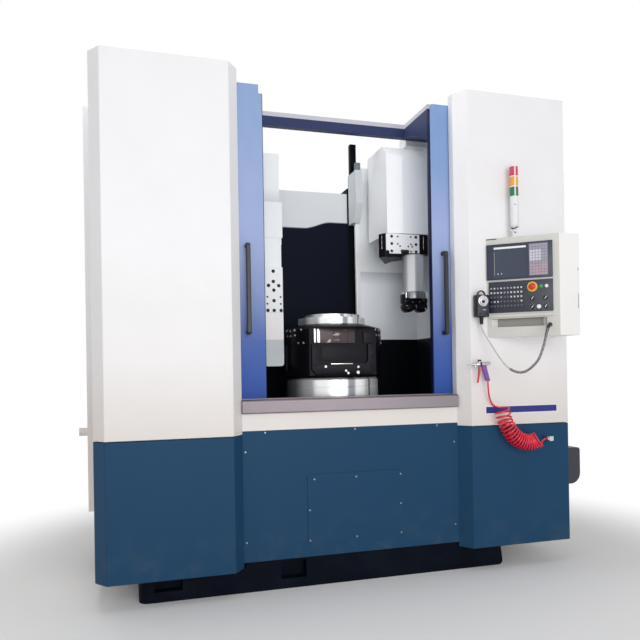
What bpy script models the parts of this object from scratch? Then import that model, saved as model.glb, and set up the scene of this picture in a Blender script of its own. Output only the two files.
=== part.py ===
"""Twin-post vertical turning lathe: sheet-metal cabinets, sliding doors, chuck, two tool posts.

Metres, +Z up, the front looks toward -Y. The origin lies on the floor, on the spindle axis.
"""
import math

import bmesh
import bpy
from mathutils import Matrix, Vector

# Gaps
GAP = 0.0003            # between pieces that are bolted face to face
RUN = 0.005             # beside a piece that moves

# Main frame
FRONT_Y = -0.530        # front face of the two cabinets
REAR_Y = 1.000          # back of base, columns and rear cabinets
TOP_Z = 2.920           # top of the front covers
COVER_RISE = 0.020      # front covers above the frame behind them
FRAME_Z = TOP_Z - COVER_RISE
SKIRT_Z = 0.140         # underside of the cabinets
SEAM_Z = 0.881          # joint between blue lower and white upper covers
BED_Z = 0.900           # top of the bed

# Cabinets, left and right of the door opening
LEFT_X0, LEFT_X1 = -1.396, -0.729
RIGHT_X0, RIGHT_X1 = 0.716, 1.396
CHAMFER_X, CHAMFER_Y = 0.058, 0.079
COVER_DEPTH = 0.135     # front cover, front to back
SEAM_GAP = 0.003
SIDE_INNER_X = 0.780    # inner face of the side cabinets
SIDE_BACK_Y = 0.250
REAR_CAB_X = 1.520      # outer face of the rear cabinets
REAR_CAB_INNER_X = SIDE_INNER_X
REAR_CAB_Z0, REAR_CAB_Z1 = 0.380, FRAME_Z
EDGE_ROUND = 0.004      # folded edges of the sheet covers
TRAY_X, TRAY_Y0, TRAY_L, TRAY_H, TRAY_DROP = 0.620, 0.155, 0.110, 0.070, 0.030

# Base casting
BASE_X0, BASE_X1 = -1.235, 0.967
BASE_DRAFT, BASE_TOE = 0.019, 0.028     # right end: how far it leans in, and its lower corner
BASE_FRONT_Y = -0.440
BASE_ROUND = 0.050
POCKET_W, POCKET_H, POCKET_D = 0.148, 0.100, 0.060
POCKET_Z = 0.055
POCKET_XS = (-1.080, -0.385)

# Bed and apron
BED_X = RIGHT_X0 - CHAMFER_X - GAP
APRON_T = 0.011
APRON_Z0 = 0.170
STRIP_Z1 = 0.996
SILL_Z1 = 1.073
SILL_OUT = 0.021
HATCH_X0, HATCH_X1 = -0.300, 0.285
HATCH_Z0, HATCH_Z1 = 0.237, 0.636
HATCH_T, HATCH_ROUND = 0.004, 0.014
NOSE_ROUND, NOSE_FOOT_ROUND = 0.014, 0.006
RAIL_END = 0.040

# Doors
DOOR_T = 0.030
DOOR_W = 0.690
DOOR_HEAD = 0.030       # frame top above the door
DOOR_Z1 = FRAME_Z - DOOR_HEAD
DOOR_EDGES = {"left": 0.515, "right": 0.530}      # leading edges of the open doors
RAIL_TOP_Z = 1.078
LIP_W, LIP_DROP = 0.022, 0.050
WINDOW_W, WINDOW_H = 0.360, 0.620
WINDOW_Z = 1.560
PANE_T = 0.012
SEAL_W, SEAL_OUT = 0.018, 0.003
HANDLE_Z0, HANDLE_Z1 = 1.441, 1.955
HANDLE_XS = {"left": 0.092, "right": 0.065}
HANDLE_D, HANDLE_STAND, HANDLE_ROUND = 0.024, 0.035, 0.016

# Top frame: the room it takes above the posts, and its underside from front to back
TOP_BEAM_H, TOP_BEAM_X = 0.110, 0.580
REAR_BEAM_Y, REAR_BEAM_T, REAR_BEAM_H = 0.090, 0.045, 0.090
SIDE_BEAM_YS, SIDE_BEAM_HS = (-0.270, -0.070), (0.230, 0.130)

# Spindle and chuck
SPINDLE_R, SPINDLE_Z1 = 0.296, 1.187
FLANGE_OUT, FLANGE_H = 0.040, 0.030
CHUCK_R, CHUCK_H = 0.320, 0.333
FOOT_TAPER, FOOT_TAPER_H = 0.013, 0.014
SHOULDER_H, SHOULDER_EDGE = 0.024, 0.008
PLATE_R, PLATE_H = 0.217, 0.045
STEP_R, STEP_H = 0.170, 0.022
PLATE_EDGE, GROOVE_W, GROOVE_D = 0.003, 0.004, 0.003

# Jaw stations round the chuck: a U-shaped frame with a jaw block above it
STATIONS = 3
FLAT_R, FRAME_R, JAW_R = 0.236, 0.254, 0.247
JAW_Z, JAW_H, FLAT_RIM = 0.018, 0.284, 0.003
FRAME_W, FRAME_H, FRAME_CUT = 0.205, 0.188, 0.030
FRAME_WALL, FRAME_SILL, FRAME_CUT_IN = 0.048, 0.068, 0.016
BLOCK_A0, BLOCK_A1, BLOCK_GAP = -0.188, 0.074, 0.006
KEY_A0, KEY_A1, KEY_DROP = 0.130, 0.190, 0.020
SINK = 0.005            # how deep a joined shape starts inside its neighbour

# Columns and their covers
COL_X0, COL_X1, COL_Y0 = 0.280, SIDE_INNER_X - GAP, 0.450
COL_DROP, COVER_DROP, GUARD_DROP = 0.340, 0.210, 0.380
COL_Z1, COVER_TOP_Z, GUARD_Z1 = FRAME_Z - COL_DROP, FRAME_Z - COVER_DROP, FRAME_Z - GUARD_DROP
COVER_Y0 = 0.370
COVER_X0, COVER_X1 = 0.345, SIDE_INNER_X - GAP
COVER_SPLIT_Z, COVER_LOW_Z = 1.940, 1.452
BACK_T, BACK_STEP, BACK_Z1 = 0.020, 0.006, 2.267

# Drive of the right ram, on the front of its column
DRIVE_X0, DRIVE_X1, DRIVE_Y0 = 0.290, 0.341, 0.290
DRIVE_DROP, DRIVE_H, DRIVE_BACK_H, DRIVE_BACK = 0.250, 0.234, 0.360, 0.060
SCREW_MOTOR_R, SCREW_MOTOR_H = 0.022, 0.055
POST_HALF, POST_DROP = 0.022, 0.030

# Right tool post
RAM_UP = 0.050          # travel left above the place in which it is drawn
RAM_X0, RAM_X1 = 0.390, 0.674
RAM_Y0, RAM_Y1 = -0.060, 0.310
RAM_H, RAM_SLOPE_D, RAM_SLOPE_H = 0.600, 0.100, 0.085
RAM_Z1 = FRAME_Z - TOP_BEAM_H - RAM_UP - RUN
RAM_Z0 = RAM_Z1 - RAM_H
FOLD_X, FOLD_D = 0.494, 0.025
CARRIAGE_IN = 0.060
TURRET_X, TURRET_Y = 0.520, 0.070
TURRET_R, TURRET_CUT = 0.120, 0.055     # axis to each of its three faces; cut corners
TURRET_H, TURRET_LIP, LIP_X = 0.132, 0.024, -0.035
TURRET_ROUND = 0.005
PAD_W, PAD_H, PAD_T = 0.200, 0.090, 0.004
PLATE_T = 0.006
PLATE_XS = (-0.148, -0.125, -0.041, 0.015, 0.091)
PLATE_ZS = (-0.004, -0.107, -0.115, -0.128, -0.135)
SLEEVE_X, SLEEVE_Y, SLEEVE_R, SLEEVE_H = 0.5985, 0.020, 0.072, 0.248
RING_R, RING_H = 0.076, 0.047
HOLDER_W, HOLDER_H, HOLDER_D = 0.085, 0.090, 0.035
HOLDER_ROUND, HOLDER_NOTCH = 0.030, 0.010
EAR_W, EAR_H = 0.007, 0.036

# Left tool post
POST_X, POST_W, POST_Y0, POST_Y1 = -0.400, 0.120, -0.090, 0.110
POST_UP, POST_CLEAR = 0.150, 0.050
SLIDE_X0, SLIDE_X1 = -0.560, -0.338
TOOL_Z = (1.264, 1.431, 1.596, 1.880)
TOOL_GROOVE, TOOL_ROUND = 0.004, 0.018
SLIDE_TOP_Z = FRAME_Z - TOP_BEAM_H - POST_UP - POST_CLEAR
SLIDE_SHARES = (0.266, 0.304, 0.430)    # of the cover's length, from the bottom
SLIDE_INSET = (0.008, 0.0, 0.014)
NUB_OUT, NUB_H = 0.010, 0.040

# Control panel on the right cabinet
PANEL_LEFT_X, PANEL_NOSE_X, PANEL_RIGHT_X = 0.830, 1.159, 1.297
PANEL_OUT = 0.262
PANEL_Z0, PANEL_Z1 = 1.418, 2.016
PANEL_ROUND = 0.014
DISPLAY_S, DISPLAY_Z, DISPLAY_W, DISPLAY_H, DISPLAY_T = 0.003, 1.762, 0.378, 0.214, 0.012
SCREEN_S, SCREEN_W, SCREEN_IN, SCREEN_MARGIN = 0.037, 0.198, 0.005, 0.012
PAD_S, PAD_KEYS_W, PAD_OUT = 0.246, 0.106, 0.003
KEYS_S, KEYS_Z, KEYS_W, KEYS_H, KEYS_T = 0.013, 1.562, 0.368, 0.188, 0.008
KEY_COLS, KEY_ROWS, KEY_W, KEY_OUT = 10, 5, 0.013, 0.004
KEY_S0, KEY_Z0, KEY_PITCH_S, KEY_PITCH_Z = 0.008, 0.034, 0.0194, 0.0267
SHELF_S0, SHELF_S1, SHELF_Z0, SHELF_Z1, SHELF_D = 0.022, 0.345, 1.476, 1.527, 0.045
LEDGE_Z, LEDGE_H, LEDGE_OUT = 1.536, 0.012, 0.014

# Emergency stop, rotary switches and push buttons: place on the operator panel, radius, height
STOP_AT, STOP_COLLAR, STOP_R, STOP_OUT = (0.2515, 0.1467), 0.030, 0.020, 0.030
STOP_STEM, STOP_EDGE = 0.010, 0.005
KNOBS_AT = ((0.252, 0.078), (0.327, 0.078), (0.252, 0.0276), (0.327, 0.0276))
KNOB_R, KNOB_OUT, KNOB_SKIRT = 0.013, 0.016, 0.004
KNOB_WAIST, KNOB_TOP_R = 0.0105, 0.009
BUTTONS_AT = ((0.301, 0.147), (0.332, 0.147), (0.288, 0.0276))
BUTTON_R, BUTTON_OUT = 0.010, 0.007

# Signal tower: flanged foot and neck, body, green, amber and red lamps, cap
TOWER_X, TOWER_OUT, TOWER_R = 0.996, 0.055, 0.025
TOWER_FLANGE_R, TOWER_FLANGE_H = 0.036, 0.008
NECK_R, NECK_H, CUP_H, CUP_TAPER = 0.014, 0.058, 0.070, 0.012
BODY_H, LAMP_H, LAMPS, CAP_H = 0.120, 0.0617, 3, 0.006
LAMP_GROOVE, LAMP_GROOVE_D = 0.004, 0.003

# Pendant, its peg and its cable
PEG_T, PEG_OUT = 0.012, 0.034
PENDANT_X, PENDANT_W, PENDANT_T = 0.768, 0.080, 0.050
PENDANT_PEG_DROP, PENDANT_PEG, GUN_PEG = 0.040, 0.020, 0.010
PENDANT_Z0, PENDANT_Z1, PENDANT_ROUND = 1.494, 1.670, 0.008
BOOT_H, BOOT_R, BOOT_R0 = 0.043, 0.012, 0.009
DIAL_R, DIAL_OUT, DIAL_Z, DIAL_SEAT = 0.027, 0.014, 1.632, 0.033
BAIL_R, BAIL_T, BAIL_D = 0.028, 0.007, 0.012
GLAND_R, GLAND_L, GLAND_S, GLAND_Z = 0.012, 0.028, 0.362, 1.480
CABLE_R, CABLE_STEP, CABLE_LEAD, BOOT_LEAD = 0.007, 0.035, 0.012, 0.020
CABLE_ROUTE = [(1.0555, -0.816, 1.464), (1.029, -0.833, 1.420), (1.008, -0.834, 1.350),
               (0.983, -0.806, 1.264), (0.932, -0.748, 1.204), (0.875, -0.693, 1.224),
               (0.833, -0.648, 1.298), (0.799, -0.606, 1.384), (0.777, -0.579, 1.440)]

# Air gun and curly hose
GUN_X, GUN_Z, GUN_T = 0.757, 1.252, 0.024
GUN_NOZZLE, GUN_NOZZLE_R, GUN_BODY_R, GUN_ROUND = 0.092, 0.005, 0.015, 0.004
GUN_GRIP, GUN_GRIP_X0, GUN_GRIP_X1, GUN_HEEL, GUN_CROWN = 0.100, 0.028, 0.056, 0.012, 0.021
LEVER_X, LEVER_T, LEVER_L = -0.024, 0.008, 0.080
HOSE_R, HOSE_STEP, HOSE_LEAD, COIL_R = 0.005, 0.030, 0.015, 0.046
COIL_ROUTE = [(0.838, -0.586, 0.990), (0.861, -0.586, 0.955), (0.884, -0.586, 0.920),
              (0.948, -0.586, 0.835), (1.027, -0.586, 0.775), (1.100, -0.586, 0.759),
              (1.145, -0.586, 0.768), (1.172, -0.586, 0.790), (1.197, -0.586, 0.790)]
FITTING_W, FITTING_HEX, COLLAR_R = 0.028, 0.010, 0.0126

# Motor on the right side, cable fitting on the left
MOTOR_OUT, MOTOR_ROUND, MOTOR_FOOT_ROUND = 0.232, 0.070, 0.018
MOTOR_Y0, MOTOR_Y1, MOTOR_Z0, MOTOR_Z1 = -0.340, -0.140, 0.450, 0.690
MOTOR_FLANGE, MOTOR_RIM = 0.014, 0.018
PIPE_R, PIPE_OUT, PIPE_IN, PIPE_Z = 0.025, 0.050, 0.030, 0.874

MATERIALS = {
    "white_paint": ((0.84, 0.84, 0.83), 0.45, 0.0),
    "blue_paint": ((0.035, 0.075, 0.14), 0.42, 0.0),
    "door_blue": ((0.10, 0.20, 0.45), 0.40, 0.0),
    "navy_casting": ((0.006, 0.010, 0.020), 0.55, 0.0),
    "stainless": ((0.55, 0.53, 0.54), 0.30, 1.0),
    "machined_steel": ((0.62, 0.62, 0.62), 0.25, 1.0),
    "chuck_black": ((0.015, 0.015, 0.017), 0.35, 0.6),
    "black_plastic": ((0.012, 0.012, 0.013), 0.50, 0.0),
    "hose_red": ((0.65, 0.03, 0.08), 0.35, 0.0),
    "dark_grey": ((0.05, 0.05, 0.055), 0.50, 0.0),
    "window_glass": ((0.10, 0.14, 0.16), 0.08, 0.0),
}


def material(name):
    """The named Principled material, made once."""
    found = bpy.data.materials.get(name)
    if found:
        return found
    mat = bpy.data.materials.new(name)
    mat.use_nodes = True
    color, rough, metal = MATERIALS[name]
    shader = mat.node_tree.nodes["Principled BSDF"]
    shader.inputs["Base Color"].default_value = (*color, 1.0)
    shader.inputs["Roughness"].default_value = rough
    shader.inputs["Metallic"].default_value = metal
    mat.diffuse_color = (*color, 1.0)
    return mat


def add(name, bm, mat, at=(0, 0, 0), turn=0.0, smooth=False):
    """An object from a bmesh, at a place and turned about the vertical."""
    bmesh.ops.recalc_face_normals(bm, faces=bm.faces)
    mesh = bpy.data.meshes.new(name)
    bm.to_mesh(mesh)
    bm.free()
    ob = bpy.data.objects.new(name, mesh)
    ob.location = at
    ob.rotation_euler.z = turn
    ob.data.materials.append(material(mat) if mat else None)
    bpy.context.collection.objects.link(ob)
    if smooth:
        mesh.shade_smooth()
        mesh.set_sharp_from_angle(angle=math.radians(35))
    return ob


def bevel(ob, width, segments=2, angle=40):
    """Round an object's sharp edges."""
    mod = ob.modifiers.new("Bevel", "BEVEL")
    mod.width = width
    mod.segments = segments
    mod.limit_method = "ANGLE"
    mod.angle_limit = math.radians(angle)
    return ob


def cut(ob, cutter):
    """Cut one object with another, which then stays hidden as a guide."""
    cutter.hide_render = True
    cutter.display_type = "WIRE"
    mod = ob.modifiers.new("Cut", "BOOLEAN")
    mod.operation = "DIFFERENCE"
    mod.object = cutter
    return ob


def join(ob, other):
    """Join an object that overlaps a first one to it; the second then stays as a guide."""
    other.hide_render = True
    other.display_type = "WIRE"
    mod = ob.modifiers.new("Join", "BOOLEAN")
    mod.operation = "UNION"
    mod.object = other
    return ob


def fuse(ob, bm, turn=0.0):
    """Join a closed shape, which overlaps an object, to it."""
    return join(ob, add(ob.name + "_joined", bm, None, ob.location, turn))


def box_mesh(x0, x1, y0, y1, z0, z1, bm=None):
    """A box between two corners."""
    bm = bm or bmesh.new()
    made = bmesh.ops.create_cube(bm, size=1.0)["verts"]
    size = Matrix.Diagonal((x1 - x0, y1 - y0, z1 - z0, 1.0))
    move = Matrix.Translation(((x0 + x1) / 2, (y0 + y1) / 2, (z0 + z1) / 2))
    bmesh.ops.transform(bm, matrix=move @ size, verts=made)
    return bm


def box(name, xs, ys, zs, mat, origin=None, round_by=0.0):
    """A box node, with its origin on a joint where one is given."""
    ox, oy, oz = origin or (0, 0, 0)
    bm = box_mesh(xs[0] - ox, xs[1] - ox, ys[0] - oy, ys[1] - oy, zs[0] - oz, zs[1] - oz)
    ob = add(name, bm, mat, (ox, oy, oz))
    return bevel(ob, round_by) if round_by else ob


def prism_mesh(points, low, high, plane="XY", bm=None):
    """A closed outline, pushed out along the third axis."""
    place = {"XY": lambda a, b, c: (a, b, c), "XZ": lambda a, b, c: (a, c, b),
             "YZ": lambda a, b, c: (c, a, b)}[plane]
    bm = bm or bmesh.new()
    face = bm.faces.new([bm.verts.new(place(a, b, low)) for a, b in points])
    out = bmesh.ops.extrude_face_region(bm, geom=[face])["geom"]
    tops = [v for v in out if isinstance(v, bmesh.types.BMVert)]
    bmesh.ops.translate(bm, vec=Vector(place(0, 0, high - low)), verts=tops)
    return bm


def rounded(points, radii, steps=4):
    """An outline with each corner rounded by its own radius, or left sharp at 0."""
    out = []
    for i, (corner, radius) in enumerate(zip(points, radii)):
        here = Vector(corner)
        if not radius:
            out.append(tuple(here))
            continue
        to_last = (Vector(points[i - 1]) - here).normalized()
        to_next = (Vector(points[(i + 1) % len(points)]) - here).normalized()
        half = to_last.angle(to_next) / 2
        centre = here + (to_last + to_next).normalized() * (radius / math.sin(half))
        first = here + to_last * (radius / math.tan(half)) - centre
        last = here + to_next * (radius / math.tan(half)) - centre
        angle = math.atan2(first.y, first.x)
        turn = (math.atan2(last.y, last.x) - angle + math.pi) % math.tau - math.pi
        for step in range(steps + 1):
            a = angle + turn * step / steps
            out.append((centre.x + radius * math.cos(a), centre.y + radius * math.sin(a)))
    return out


def round_edges(bm, chosen, radius, segments=4):
    """Round the edges that a test on their two ends picks out."""
    edges = [e for e in bm.edges if chosen(e.verts[0].co, e.verts[1].co)]
    bmesh.ops.bevel(bm, geom=edges, offset=radius, segments=segments, profile=0.5,
                    affect="EDGES", material=-1)
    return bm


def cone_mesh(radius1, radius2, start, end, sides=16, bm=None):
    """A round bar or cone between two points."""
    bm = bm or bmesh.new()
    start, end = Vector(start), Vector(end)
    turn = (end - start).to_track_quat("Z", "Y").to_matrix().to_4x4()
    bmesh.ops.create_cone(bm, cap_ends=True, segments=sides, radius1=radius1, radius2=radius2,
                          depth=(end - start).length,
                          matrix=Matrix.Translation((start + end) / 2) @ turn)
    return bm


def span(s, low, high):
    """A range along X, on the right for s = 1 and on the left for s = -1."""
    return (low, high) if s > 0 else (-high, -low)


def cover_outline(x0, x1, left_cut=True, right_cut=True):
    """Plan of a front cover: flat front with chamfered upright edges."""
    back = FRONT_Y + COVER_DEPTH
    pts = []
    if left_cut:
        pts += [(x0 - CHAMFER_X, back), (x0 - CHAMFER_X, FRONT_Y + CHAMFER_Y), (x0, FRONT_Y)]
    else:
        pts += [(x0, back), (x0, FRONT_Y)]
    if right_cut:
        pts += [(x1, FRONT_Y), (x1 + CHAMFER_X, FRONT_Y + CHAMFER_Y), (x1 + CHAMFER_X, back)]
    else:
        pts += [(x1, FRONT_Y), (x1, back)]
    return pts


def make_base():
    """One casting: foot with jacking pockets, and the bed that rises from it."""
    foot = SKIRT_Z - GAP
    pts = [(BASE_X0, 0), (BASE_X1, 0), (BASE_X1 - BASE_DRAFT, foot), (BED_X, foot), (BED_X, BED_Z),
           (-BED_X, BED_Z), (-BED_X, foot), (BASE_X0, foot)]
    bm = prism_mesh(rounded(pts, (0, BASE_TOE, 0, 0, 0, 0, 0, 0)), BASE_FRONT_Y, REAR_Y, "XZ")

    def at_end(a, b):
        return abs(a.z - b.z) > foot / 2 and abs(a.x - BASE_X0) < GAP

    ob = add("base_casting", round_edges(bm, at_end, BASE_ROUND), "navy_casting")
    bm = bmesh.new()
    for x in POCKET_XS:
        for y in (BASE_FRONT_Y, REAR_Y):
            box_mesh(x - POCKET_W / 2, x + POCKET_W / 2, y - POCKET_D, y + POCKET_D,
                     POCKET_Z, POCKET_Z + POCKET_H, bm)
    cut(ob, add("pocket_cutter", bm, None))


def make_front_covers():
    """White upper and blue lower covers of both cabinets."""
    sides = {"left": cover_outline(LEFT_X0, LEFT_X1),
             "right": cover_outline(RIGHT_X0, RIGHT_X1, right_cut=False)}
    for side, outline in sides.items():
        upper = add(side + "_front_cover_upper", prism_mesh(outline, SEAM_Z, TOP_Z), "white_paint")
        bevel(upper, EDGE_ROUND)
        if side == "right":
            peg_z = PENDANT_Z1 - PENDANT_PEG_DROP
            fuse(upper, peg_mesh(PENDANT_X, peg_z, PENDANT_PEG, PEG_T))
            fuse(upper, peg_mesh(GUN_X, GUN_Z, GUN_PEG, PEG_OUT))
        low = [(x, min(y, BASE_FRONT_Y - GAP)) for x, y in outline]
        lower = prism_mesh(low, SKIRT_Z, SEAM_Z - SEAM_GAP)
        bevel(add(side + "_front_cover_lower", lower, "blue_paint"), EDGE_ROUND)


def peg_mesh(x, z, half, out):
    """A square peg that stands out from the right cabinet's front."""
    return box_mesh(x - half, x + half, FRONT_Y - out, FRONT_Y + SINK, z - half, z + half)


def make_side_cabinets():
    """Closed housings beside the work space, with the taller boxes behind them."""
    front = FRONT_Y + COVER_DEPTH + 2 * RUN + DOOR_T + GAP
    for side, s, outer in (("left", -1, -(LEFT_X0 - CHAMFER_X)), ("right", 1, RIGHT_X1)):
        pts = [(s * (BED_X + GAP), SKIRT_Z), (s * outer, SKIRT_Z), (s * outer, FRAME_Z),
               (s * SIDE_INNER_X, FRAME_Z), (s * SIDE_INNER_X, BED_Z), (s * (BED_X + GAP), BED_Z)]
        ob = add(side + "_cabinet", prism_mesh(pts, front, SIDE_BACK_Y, "XZ"), "white_paint")
        x0, x1 = span(s, REAR_CAB_INNER_X, REAR_CAB_X)
        fuse(ob, box_mesh(x0, x1, SIDE_BACK_Y - SINK, REAR_Y, REAR_CAB_Z0, REAR_CAB_Z1))
        if s < 0:
            y = SIDE_BACK_Y + PIPE_IN
            fuse(ob, cone_mesh(PIPE_R, PIPE_R, (x0 + SINK, y, PIPE_Z), (x0 - PIPE_OUT, y, PIPE_Z), 20))
        else:
            z1 = FRAME_Z - TRAY_DROP
            fuse(ob, box_mesh(TRAY_X, SIDE_INNER_X + SINK, TRAY_Y0, TRAY_Y0 + TRAY_L, z1 - TRAY_H, z1))


def make_apron():
    """Blue apron, inspection hatch, white strip, stainless sill and door rail."""
    back = BASE_FRONT_Y - GAP
    x0, x1 = LEFT_X1 + CHAMFER_X + GAP, RIGHT_X0 - CHAMFER_X - GAP
    box("front_apron", (x0, x1), (back - APRON_T, back), (APRON_Z0, BED_Z), "blue_paint")
    face = back - APRON_T - GAP
    corners = [(HATCH_X0, HATCH_Z0), (HATCH_X1, HATCH_Z0), (HATCH_X1, HATCH_Z1), (HATCH_X0, HATCH_Z1)]
    hatch = prism_mesh(rounded(corners, [HATCH_ROUND] * 4), face - HATCH_T, face, "XZ")
    add("inspection_hatch", hatch, "blue_paint")
    inner = FRONT_Y + COVER_DEPTH - GAP
    box("apron_top_strip", (x0, x1), (face, inner), (BED_Z + GAP, STRIP_Z1), "white_paint")
    reach = max(DOOR_EDGES.values()) + DOOR_W + RAIL_END
    y0 = inner + 2 * GAP
    y1 = y0 + DOOR_T + 2 * RUN - GAP
    sill = add("sill", box_mesh(-reach, reach, y0, y1, BED_Z + GAP, RAIL_TOP_Z - GAP), "stainless")
    z0 = STRIP_Z1 + GAP
    nose = [(face - SILL_OUT, z0), (y0 + SINK, z0), (y0 + SINK, SILL_Z1), (face - SILL_OUT, SILL_Z1)]
    fuse(sill, prism_mesh(rounded(nose, (NOSE_FOOT_ROUND, 0, 0, NOSE_ROUND)), x0, x1, "YZ"))


def make_door(side, s):
    """A sliding door with its lip, sealed window and handle, drawn open."""
    y0 = FRONT_Y + COVER_DEPTH + RUN
    half = DOOR_T / 2
    origin = (s * DOOR_EDGES[side], y0 + half, RAIL_TOP_Z)
    top = DOOR_Z1 - RAIL_TOP_Z
    pts = [(s * DOOR_W, 0), (0, 0), (0, top - LIP_DROP), (s * LIP_W, top - LIP_DROP),
           (s * LIP_W, top), (s * DOOR_W, top)]
    door = add(side + "_sliding_door", prism_mesh(pts, -half, half, "XZ"), "door_blue", origin)
    wx = s * (DOOR_W + LIP_W) / 2
    wz = WINDOW_Z - RAIL_TOP_Z
    hole = box_mesh(wx - WINDOW_W / 2, wx + WINDOW_W / 2, -DOOR_T, DOOR_T, wz, wz + WINDOW_H)
    cut(door, add(side + "_window_cutter", hole, None, origin))
    pane = add(side + "_door_window", window_mesh(wx, wz, PANE_T / 2, 0), "window_glass", origin)
    seal = add(side + "_seal", window_mesh(wx, wz, half - SEAL_OUT, 0), None, origin)
    cut(seal, add(side + "_seal_cutter", window_mesh(wx, wz, DOOR_T, SEAL_W), None, origin))
    join(pane, seal)
    make_handle(side, s, origin, half)


def window_mesh(x, z, half, inset):
    """A slab that fits the window opening, or lies inside it by an inset."""
    edge = GAP + inset
    return box_mesh(x - WINDOW_W / 2 + edge, x + WINDOW_W / 2 - edge, -half, half,
                    z + edge, z + WINDOW_H - edge)


def make_handle(side, s, origin, half):
    """Upright bar on two end brackets, standing off the door's face."""
    x = s * (HANDLE_XS[side] + HANDLE_D / 2)
    z0, z1 = HANDLE_Z0 - origin[2], HANDLE_Z1 - origin[2]
    y1 = -half - GAP
    y0 = y1 - HANDLE_STAND - HANDLE_D
    pts = [(y1, z0), (y0, z0), (y0, z1), (y1, z1), (y1, z1 - HANDLE_D),
           (y0 + HANDLE_D, z1 - HANDLE_D), (y0 + HANDLE_D, z0 + HANDLE_D), (y1, z0 + HANDLE_D)]
    radii = (0, HANDLE_ROUND, HANDLE_ROUND, 0, 0, 0, 0, 0)
    bm = prism_mesh(rounded(pts, radii), x - HANDLE_D / 2, x + HANDLE_D / 2, "YZ")
    bevel(add(side + "_door_handle", bm, "black_plastic", origin), HANDLE_D / 6, 1)


def make_top_frame():
    """Open top frame: a beam with a rising underside on each side, and one across the back."""
    out = SIDE_INNER_X - GAP
    xs = (-out, -TOP_BEAM_X, TOP_BEAM_X, out)
    ys = (*SIDE_BEAM_YS, REAR_BEAM_Y, REAR_BEAM_Y + REAR_BEAM_T)
    drops = (*SIDE_BEAM_HS, REAR_BEAM_H, REAR_BEAM_H)
    bm = bmesh.new()
    feet = [[bm.verts.new((x, y, TOP_Z - drop)) for x in xs] for y, drop in zip(ys, drops)]
    faces = []
    for front, back in zip(feet, feet[1:]):
        for i in range(len(xs) - 1):
            if i != 1 or back is feet[-1]:
                faces.append(bm.faces.new((front[i], front[i + 1], back[i + 1], back[i])))
    out = bmesh.ops.extrude_face_region(bm, geom=faces)["geom"]
    for vert in out:
        if isinstance(vert, bmesh.types.BMVert):
            vert.co.z = TOP_Z
    bmesh.ops.delete(bm, geom=[v for v in bm.verts if not v.link_faces], context="VERTS")
    add("top_frame", bm, "door_blue")


def make_spindle():
    """Fixed spindle housing and the chuck that turns on it."""
    z0, z1 = BED_Z + GAP, SPINDLE_Z1
    flange = SPINDLE_R + FLANGE_OUT
    profile = [(0, z0), (flange, z0), (flange, z0 + FLANGE_H), (SPINDLE_R, z0 + FLANGE_H),
               (SPINDLE_R, z1 - FOOT_TAPER), (SPINDLE_R - FOOT_TAPER, z1), (0, z1)]
    add("spindle_housing", turned_mesh(profile, 64), "machined_steel", smooth=True)
    z = SPINDLE_Z1 + GAP
    profile = [(0, 0), (CHUCK_R - FOOT_TAPER, 0), (CHUCK_R, FOOT_TAPER_H),
               (CHUCK_R, CHUCK_H - SHOULDER_H - SHOULDER_EDGE),
               (CHUCK_R - SHOULDER_EDGE, CHUCK_H - SHOULDER_H), (PLATE_R, CHUCK_H), (0, CHUCK_H)]
    chuck = add("chuck_body", turned_mesh(profile, 64), "chuck_black", (0, 0, z), smooth=True)
    for station in range(STATIONS):
        make_jaw_station(chuck, math.tau * station / STATIONS)
    add("chuck_face_plate", plate_mesh(), "machined_steel", (0, 0, z + CHUCK_H + GAP), smooth=True)


def make_jaw_station(chuck, turn):
    """Flat milled into the chuck's side, with its U-shaped frame, jaw block and key."""
    z0, z1 = JAW_Z, JAW_Z + JAW_H
    flat = box_mesh(-CHUCK_R, CHUCK_R, -2 * CHUCK_R, -FLAT_R, z0 - FLAT_RIM, z1 + FLAT_RIM)
    cut(chuck, add("flat_cutter", flat, None, chuck.location, turn))
    w, c, top = FRAME_W, FRAME_CUT, z0 + FRAME_H
    inner, low, cut_in = w - FRAME_WALL, z0 + FRAME_SILL, FRAME_CUT_IN
    pts = [(-w, top), (-w, z0 + c), (-w + c, z0), (w - c, z0), (w, z0 + c), (w, top), (inner, top),
           (inner, low + cut_in), (inner - cut_in, low), (-inner + cut_in, low),
           (-inner, low + cut_in), (-inner, top)]
    fuse(chuck, prism_mesh(pts, -FRAME_R, -FLAT_R + SINK, "XZ"), turn)
    low = top + BLOCK_GAP
    fuse(chuck, box_mesh(BLOCK_A0, BLOCK_A1, -JAW_R, -FLAT_R + SINK, low, z1), turn)
    fuse(chuck, box_mesh(KEY_A0, KEY_A1, -JAW_R, -FLAT_R + SINK, low, z1 - KEY_DROP), turn)


def plate_mesh():
    """Steel disc on the chuck: a grooved plate with a lower step on top."""
    mid = (PLATE_H - GROOVE_W) / 2
    return turned_mesh([(0, 0), (PLATE_R - PLATE_EDGE, 0), (PLATE_R, PLATE_EDGE), (PLATE_R, mid),
                        (PLATE_R - GROOVE_D, mid), (PLATE_R - GROOVE_D, mid + GROOVE_W),
                        (PLATE_R, mid + GROOVE_W), (PLATE_R, PLATE_H), (STEP_R, PLATE_H),
                        (STEP_R, PLATE_H + STEP_H - PLATE_EDGE),
                        (STEP_R - PLATE_EDGE, PLATE_H + STEP_H), (0, PLATE_H + STEP_H)], 64)


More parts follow.
